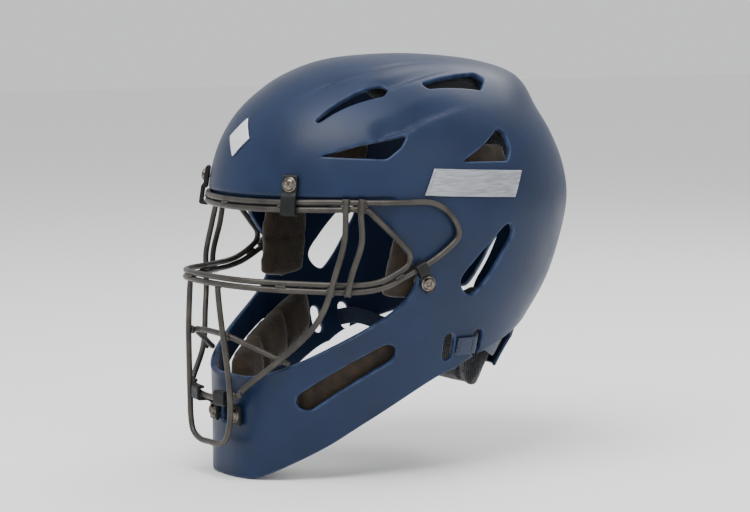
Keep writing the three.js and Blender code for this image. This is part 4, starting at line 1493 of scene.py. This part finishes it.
PADS = [("brow_pad", lambda u, v, off: on_front(86 * u, between(7, 38, v), off), 15, BLACK_MESH,
         "pad_black", (44, 10), (-0.5, 0, 0.5), ()),
        ("crown_pad", lambda u, v, off: on_top(between(-20, 20, u), between(-78, 70, v), off), 15,
         BLACK_MESH, "pad_black", (12, 36), (), (-0.4, 0.2)),
        ("rear_pad_top", lambda u, v, off: on_rear(40 * u, between(14, 56, v), off), 15,
         BLACK_MESH, "pad_black", (22, 12), (-0.4, 0.4), ()),
        ("chin_pad", lambda u, v, off: on_front(34 * u, between(-176, -130, v), off), 15,
         BLACK_MESH, "pad_black", (20, 14), (), (0.1,))]
for side, s in (("l", 1), ("r", -1)):
    PADS += [
        (f"crown_side_pad_{side}", lambda u, v, off, s=s: on_top(
            s * between(27, 64, u), between(-52, 48, v), off), 14, BLACK_MESH, "pad_black",
         (12, 26), (), (0,)),
        (f"temple_pad_{side}", lambda u, v, off, s=s: on_side(
            s, between(-52, 44, u), between(14, 50, v), off), 14, BROWN_TRICOT, "pad_brown",
         (26, 12), (-0.3, 0.35), ()),
        (f"ear_pad_{side}", lambda u, v, off, s=s: on_side(
            s, between(-60, -16, u) + 6 * v, between(-67, 4, v), off), 14, BROWN_TRICOT,
         "pad_brown", (16, 24), (), (-0.1,)),
        (f"cheek_pad_{side}", lambda u, v, off, s=s: on_side(
            s, between(-116, -22, u), mixed(-135, -89, (u + 1) / 2) + 18 * v, off), 18,
         BROWN_TRICOT, "pad_brown", (28, 12), (-0.35, 0.3), ()),
        (f"rear_pad_{side}", lambda u, v, off, s=s: on_rear(
            s * between(44, 88, u), between(-66, 20, v), off), 15, BLACK_MESH, "pad_black",
         (12, 24), (), (-0.1,))]
stitches = {"helmet": [], "back_plate": []}
for name, form, thick, material, slot, grid, cu, cv in PADS:
    stitches["helmet"] += make_pad(name + "_cover", form, thick, material, slot, grid=grid,
                                   channels_u=cu, channels_v=cv)


def nape_form(u, v, off):
    z = between(-144, -80, v)
    return on_rear(u * mixed(54, 30, np.maximum(0, (v + 0.1) / 1.1)), z, off + 7 * ease((-72 - z) / 24))


stitches["back_plate"] += make_pad("nape_pad_cover", nape_form, 14, BLACK_MESH, "pad_black",
                                   "back_plate", PLATE_OUT - PLATE_WALL - 1, (26, 16),
                                   (-0.35, 0.35))
for body, rows in stitches.items():
    at, ways, alongs = (np.vstack([row[k] for row in rows]) for k in range(3))
    piece = repeat_part(f"pad_stitches_{body}", stitch_part, at, ways, alongs, THREAD, 1.0, 0.06)
    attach(piece, body)

# %% [markdown]
# ## Elastic straps
#
# Two side straps and one top strap hold the back plate. They are woven elastic webbing:
# flat, ribbed across, and sewn down at the ends. A flat strap keeps its shape better when
# it is modelled directly than in a cloth simulation. The weave is drawn from the strap's
# own length and width, which the slab keeps as attributes, so it bends with the strap.

# %% Webbing
def webbing(name, dark, light, length, width, pick=1.1):
    """Plain weave in millimetres along and across the strap."""
    material, tree, shader = new_material(name)
    waves = []
    for label, half, pitch in (("along_u", length / 2, pick), ("along_v", width / 2, pick * 1.3)):
        source = add_node(tree, "ShaderNodeAttribute", {"attribute_name": label}).outputs["Fac"]
        waves.append(maths(tree, "SINE", maths(tree, "MULTIPLY", source, math.pi * half / pitch)))
    lift = spread(tree, maths(tree, "MULTIPLY", *waves), 0.0, 1.0, -1.0, 1.0)
    fibre = grain(tree, 0.5, 3.0)
    shader.inputs["Roughness"].default_value = 0.82
    shader.inputs["Sheen Weight"].default_value = 0.2
    cloth = bumped(tree, lift, 0.35)
    plug(tree, shader, {"Base Color": blend_colours(tree, lift, dark, light, 0.1, 0.9),
                        "Normal": bumped(tree, fibre.outputs["Fac"], 0.1, cloth)})
    return material


SIDE_WEB = webbing("navy_elastic_webbing", "#111c30", "#22324f", 65, 12)
TOP_WEB = webbing("black_elastic_webbing", "#0d0e10", "#26282c", 44, 18)


def side_strap_form(s):
    def form(u, v, off):
        y = between(-3, 62, u)
        inward, down = ease((y - 11.5) / 10.5), ease((y - 20) / 40)
        return on_side(s, y, -98 - 12 * down + 6 * v, mixed(1.9, -6.1, inward) + off)
    return form


strap_rows = {"helmet": [], "back_plate": []}


def strap_stitches(form, body, along, across, off):
    """Short sewn rows straight across a strap."""
    v = np.linspace(-across, across, 8)
    for u in along:
        low = form(np.full(8, u), v, np.full(8, off))
        high = form(np.full(8, u), v, np.full(8, off + 1))
        strap_rows[body].append(stitch_row(low, high - low, 1.9))


for side, s in (("l", 1), ("r", -1)):
    form = side_strap_form(s)
    strap = slab(f"side_strap_{side}_web", form, 110, 12, rolled_layers(0.9, -0.9, 0.5, 33, 6))
    strap.data.materials.append(SIDE_WEB)
    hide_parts(f"side_strap_{side}")
    low, high = form(np.array([-0.2, 0.85]), np.zeros(2), np.zeros(2)) * MM
    tuple(low)
    tuple(high)
    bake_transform(strap)
    strap_stitches(form, "back_plate", (0.86, 0.93), 0.75, 0.95)
    strap_stitches(form, "helmet", (-0.93, -0.62), 0.75, 0.95)


def top_strap_form(u, v, off):
    return on_rear(9 * v, between(-32, 12, u), off)


strap = slab("top_strap_web", top_strap_form, 60, 14, rolled_layers(-6.3, -8.4, 0.6, 22, 9))
strap.data.materials.append(TOP_WEB)
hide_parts("top_strap")
low, high = top_strap_form(np.array([0.5, -0.6]), np.zeros(2), np.full(2, -7.3)) * MM
tuple(low)
tuple(high)
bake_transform(strap)
strap_stitches(top_strap_form, "helmet", (0.85, 0.93), 0.8, -6.2)
for body, rows in strap_rows.items():
    at, ways, alongs = (np.vstack([row[k] for row in rows]) for k in range(3))
    piece = repeat_part(f"strap_stitches_{body}", stitch_part, at, ways, alongs, THREAD, 0.62, 0.05)
    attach(piece, body)

# %% [markdown]
# ## Badges and emblem
#
# The plain plate on each side and the small diamond in front are thin plastic, hot foiled
# in silver and glued on. The foil is laid over a brushed tool, so it has fine lines along
# the plate. Both are slabs with rolled edges. The side plates have a raised border, and the
# diamond has four facets.

# %% Foiled plates
def foiled_plastic(name, dark, light, metal, stretch):
    """Brushed foil: noise drawn out along the plate."""
    material, tree, shader = new_material(name)
    mapping = add_node(tree, "ShaderNodeMapping", {"Scale": stretch},
                       {"Vector": object_coordinates(tree)})
    lines = grain(tree, 0.8, 3.0, mapping.outputs["Vector"])
    shader.inputs["Metallic"].default_value = metal
    plug(tree, shader, {"Base Color": blend_colours(tree, lines.outputs["Fac"], dark, light),
                        "Roughness": spread(tree, lines.outputs["Fac"], 0.3, 0.46),
                        "Normal": bumped(tree, lines.outputs["Fac"], 0.03)})
    return material


FOIL = foiled_plastic("silver_foiled_plastic", "#84878d", "#a3a6ac", 0.45, (0.5, 0.05, 1.0))
BRIGHT_FOIL = foiled_plastic("bright_foiled_plastic", "#cfd1d4", "#e4e5e7", 0.3, (0.5, 1.0, 0.1))


def badge_form(s):
    def form(u, v, off):
        edge = np.minimum((1 - np.abs(u)) * 37.5, (1 - np.abs(v)) * 9.1)
        panel = np.where(off > 1.4, 0.45 * ease((edge - 1.3) / 0.7), 0)
        return on_side(s, between(-36, 39, u) + 4.2 * v, 17.6 + 9.1 * v - 2 * u, off - panel)
    return form


for side, s in (("l", 1), ("r", -1)):
    badge = slab(f"side_badge_{side}_plate", badge_form(s), 110, 34,
                 rolled_layers(2.0, 0.1, 0.6, 37.5, 9.1))
    badge.data.materials.append(FOIL)
    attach(badge, "helmet")
    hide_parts(f"side_badge_{side}")


def emblem_form(u, v, off):
    facet = np.where(off > 1.2, 0.7 * (1 - np.maximum(np.abs(u), np.abs(v))), 0)
    return on_front(13 * (u - v) / 2, 48 + 13 * (u + v) / 2, off + facet)


emblem = slab("front_emblem_plate", emblem_form, 24, 24, rolled_layers(1.5, 0.1, 0.5, 6.5, 6.5))
emblem.data.materials.append(BRIGHT_FOIL)
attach(emblem, "helmet")
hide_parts("front_emblem")
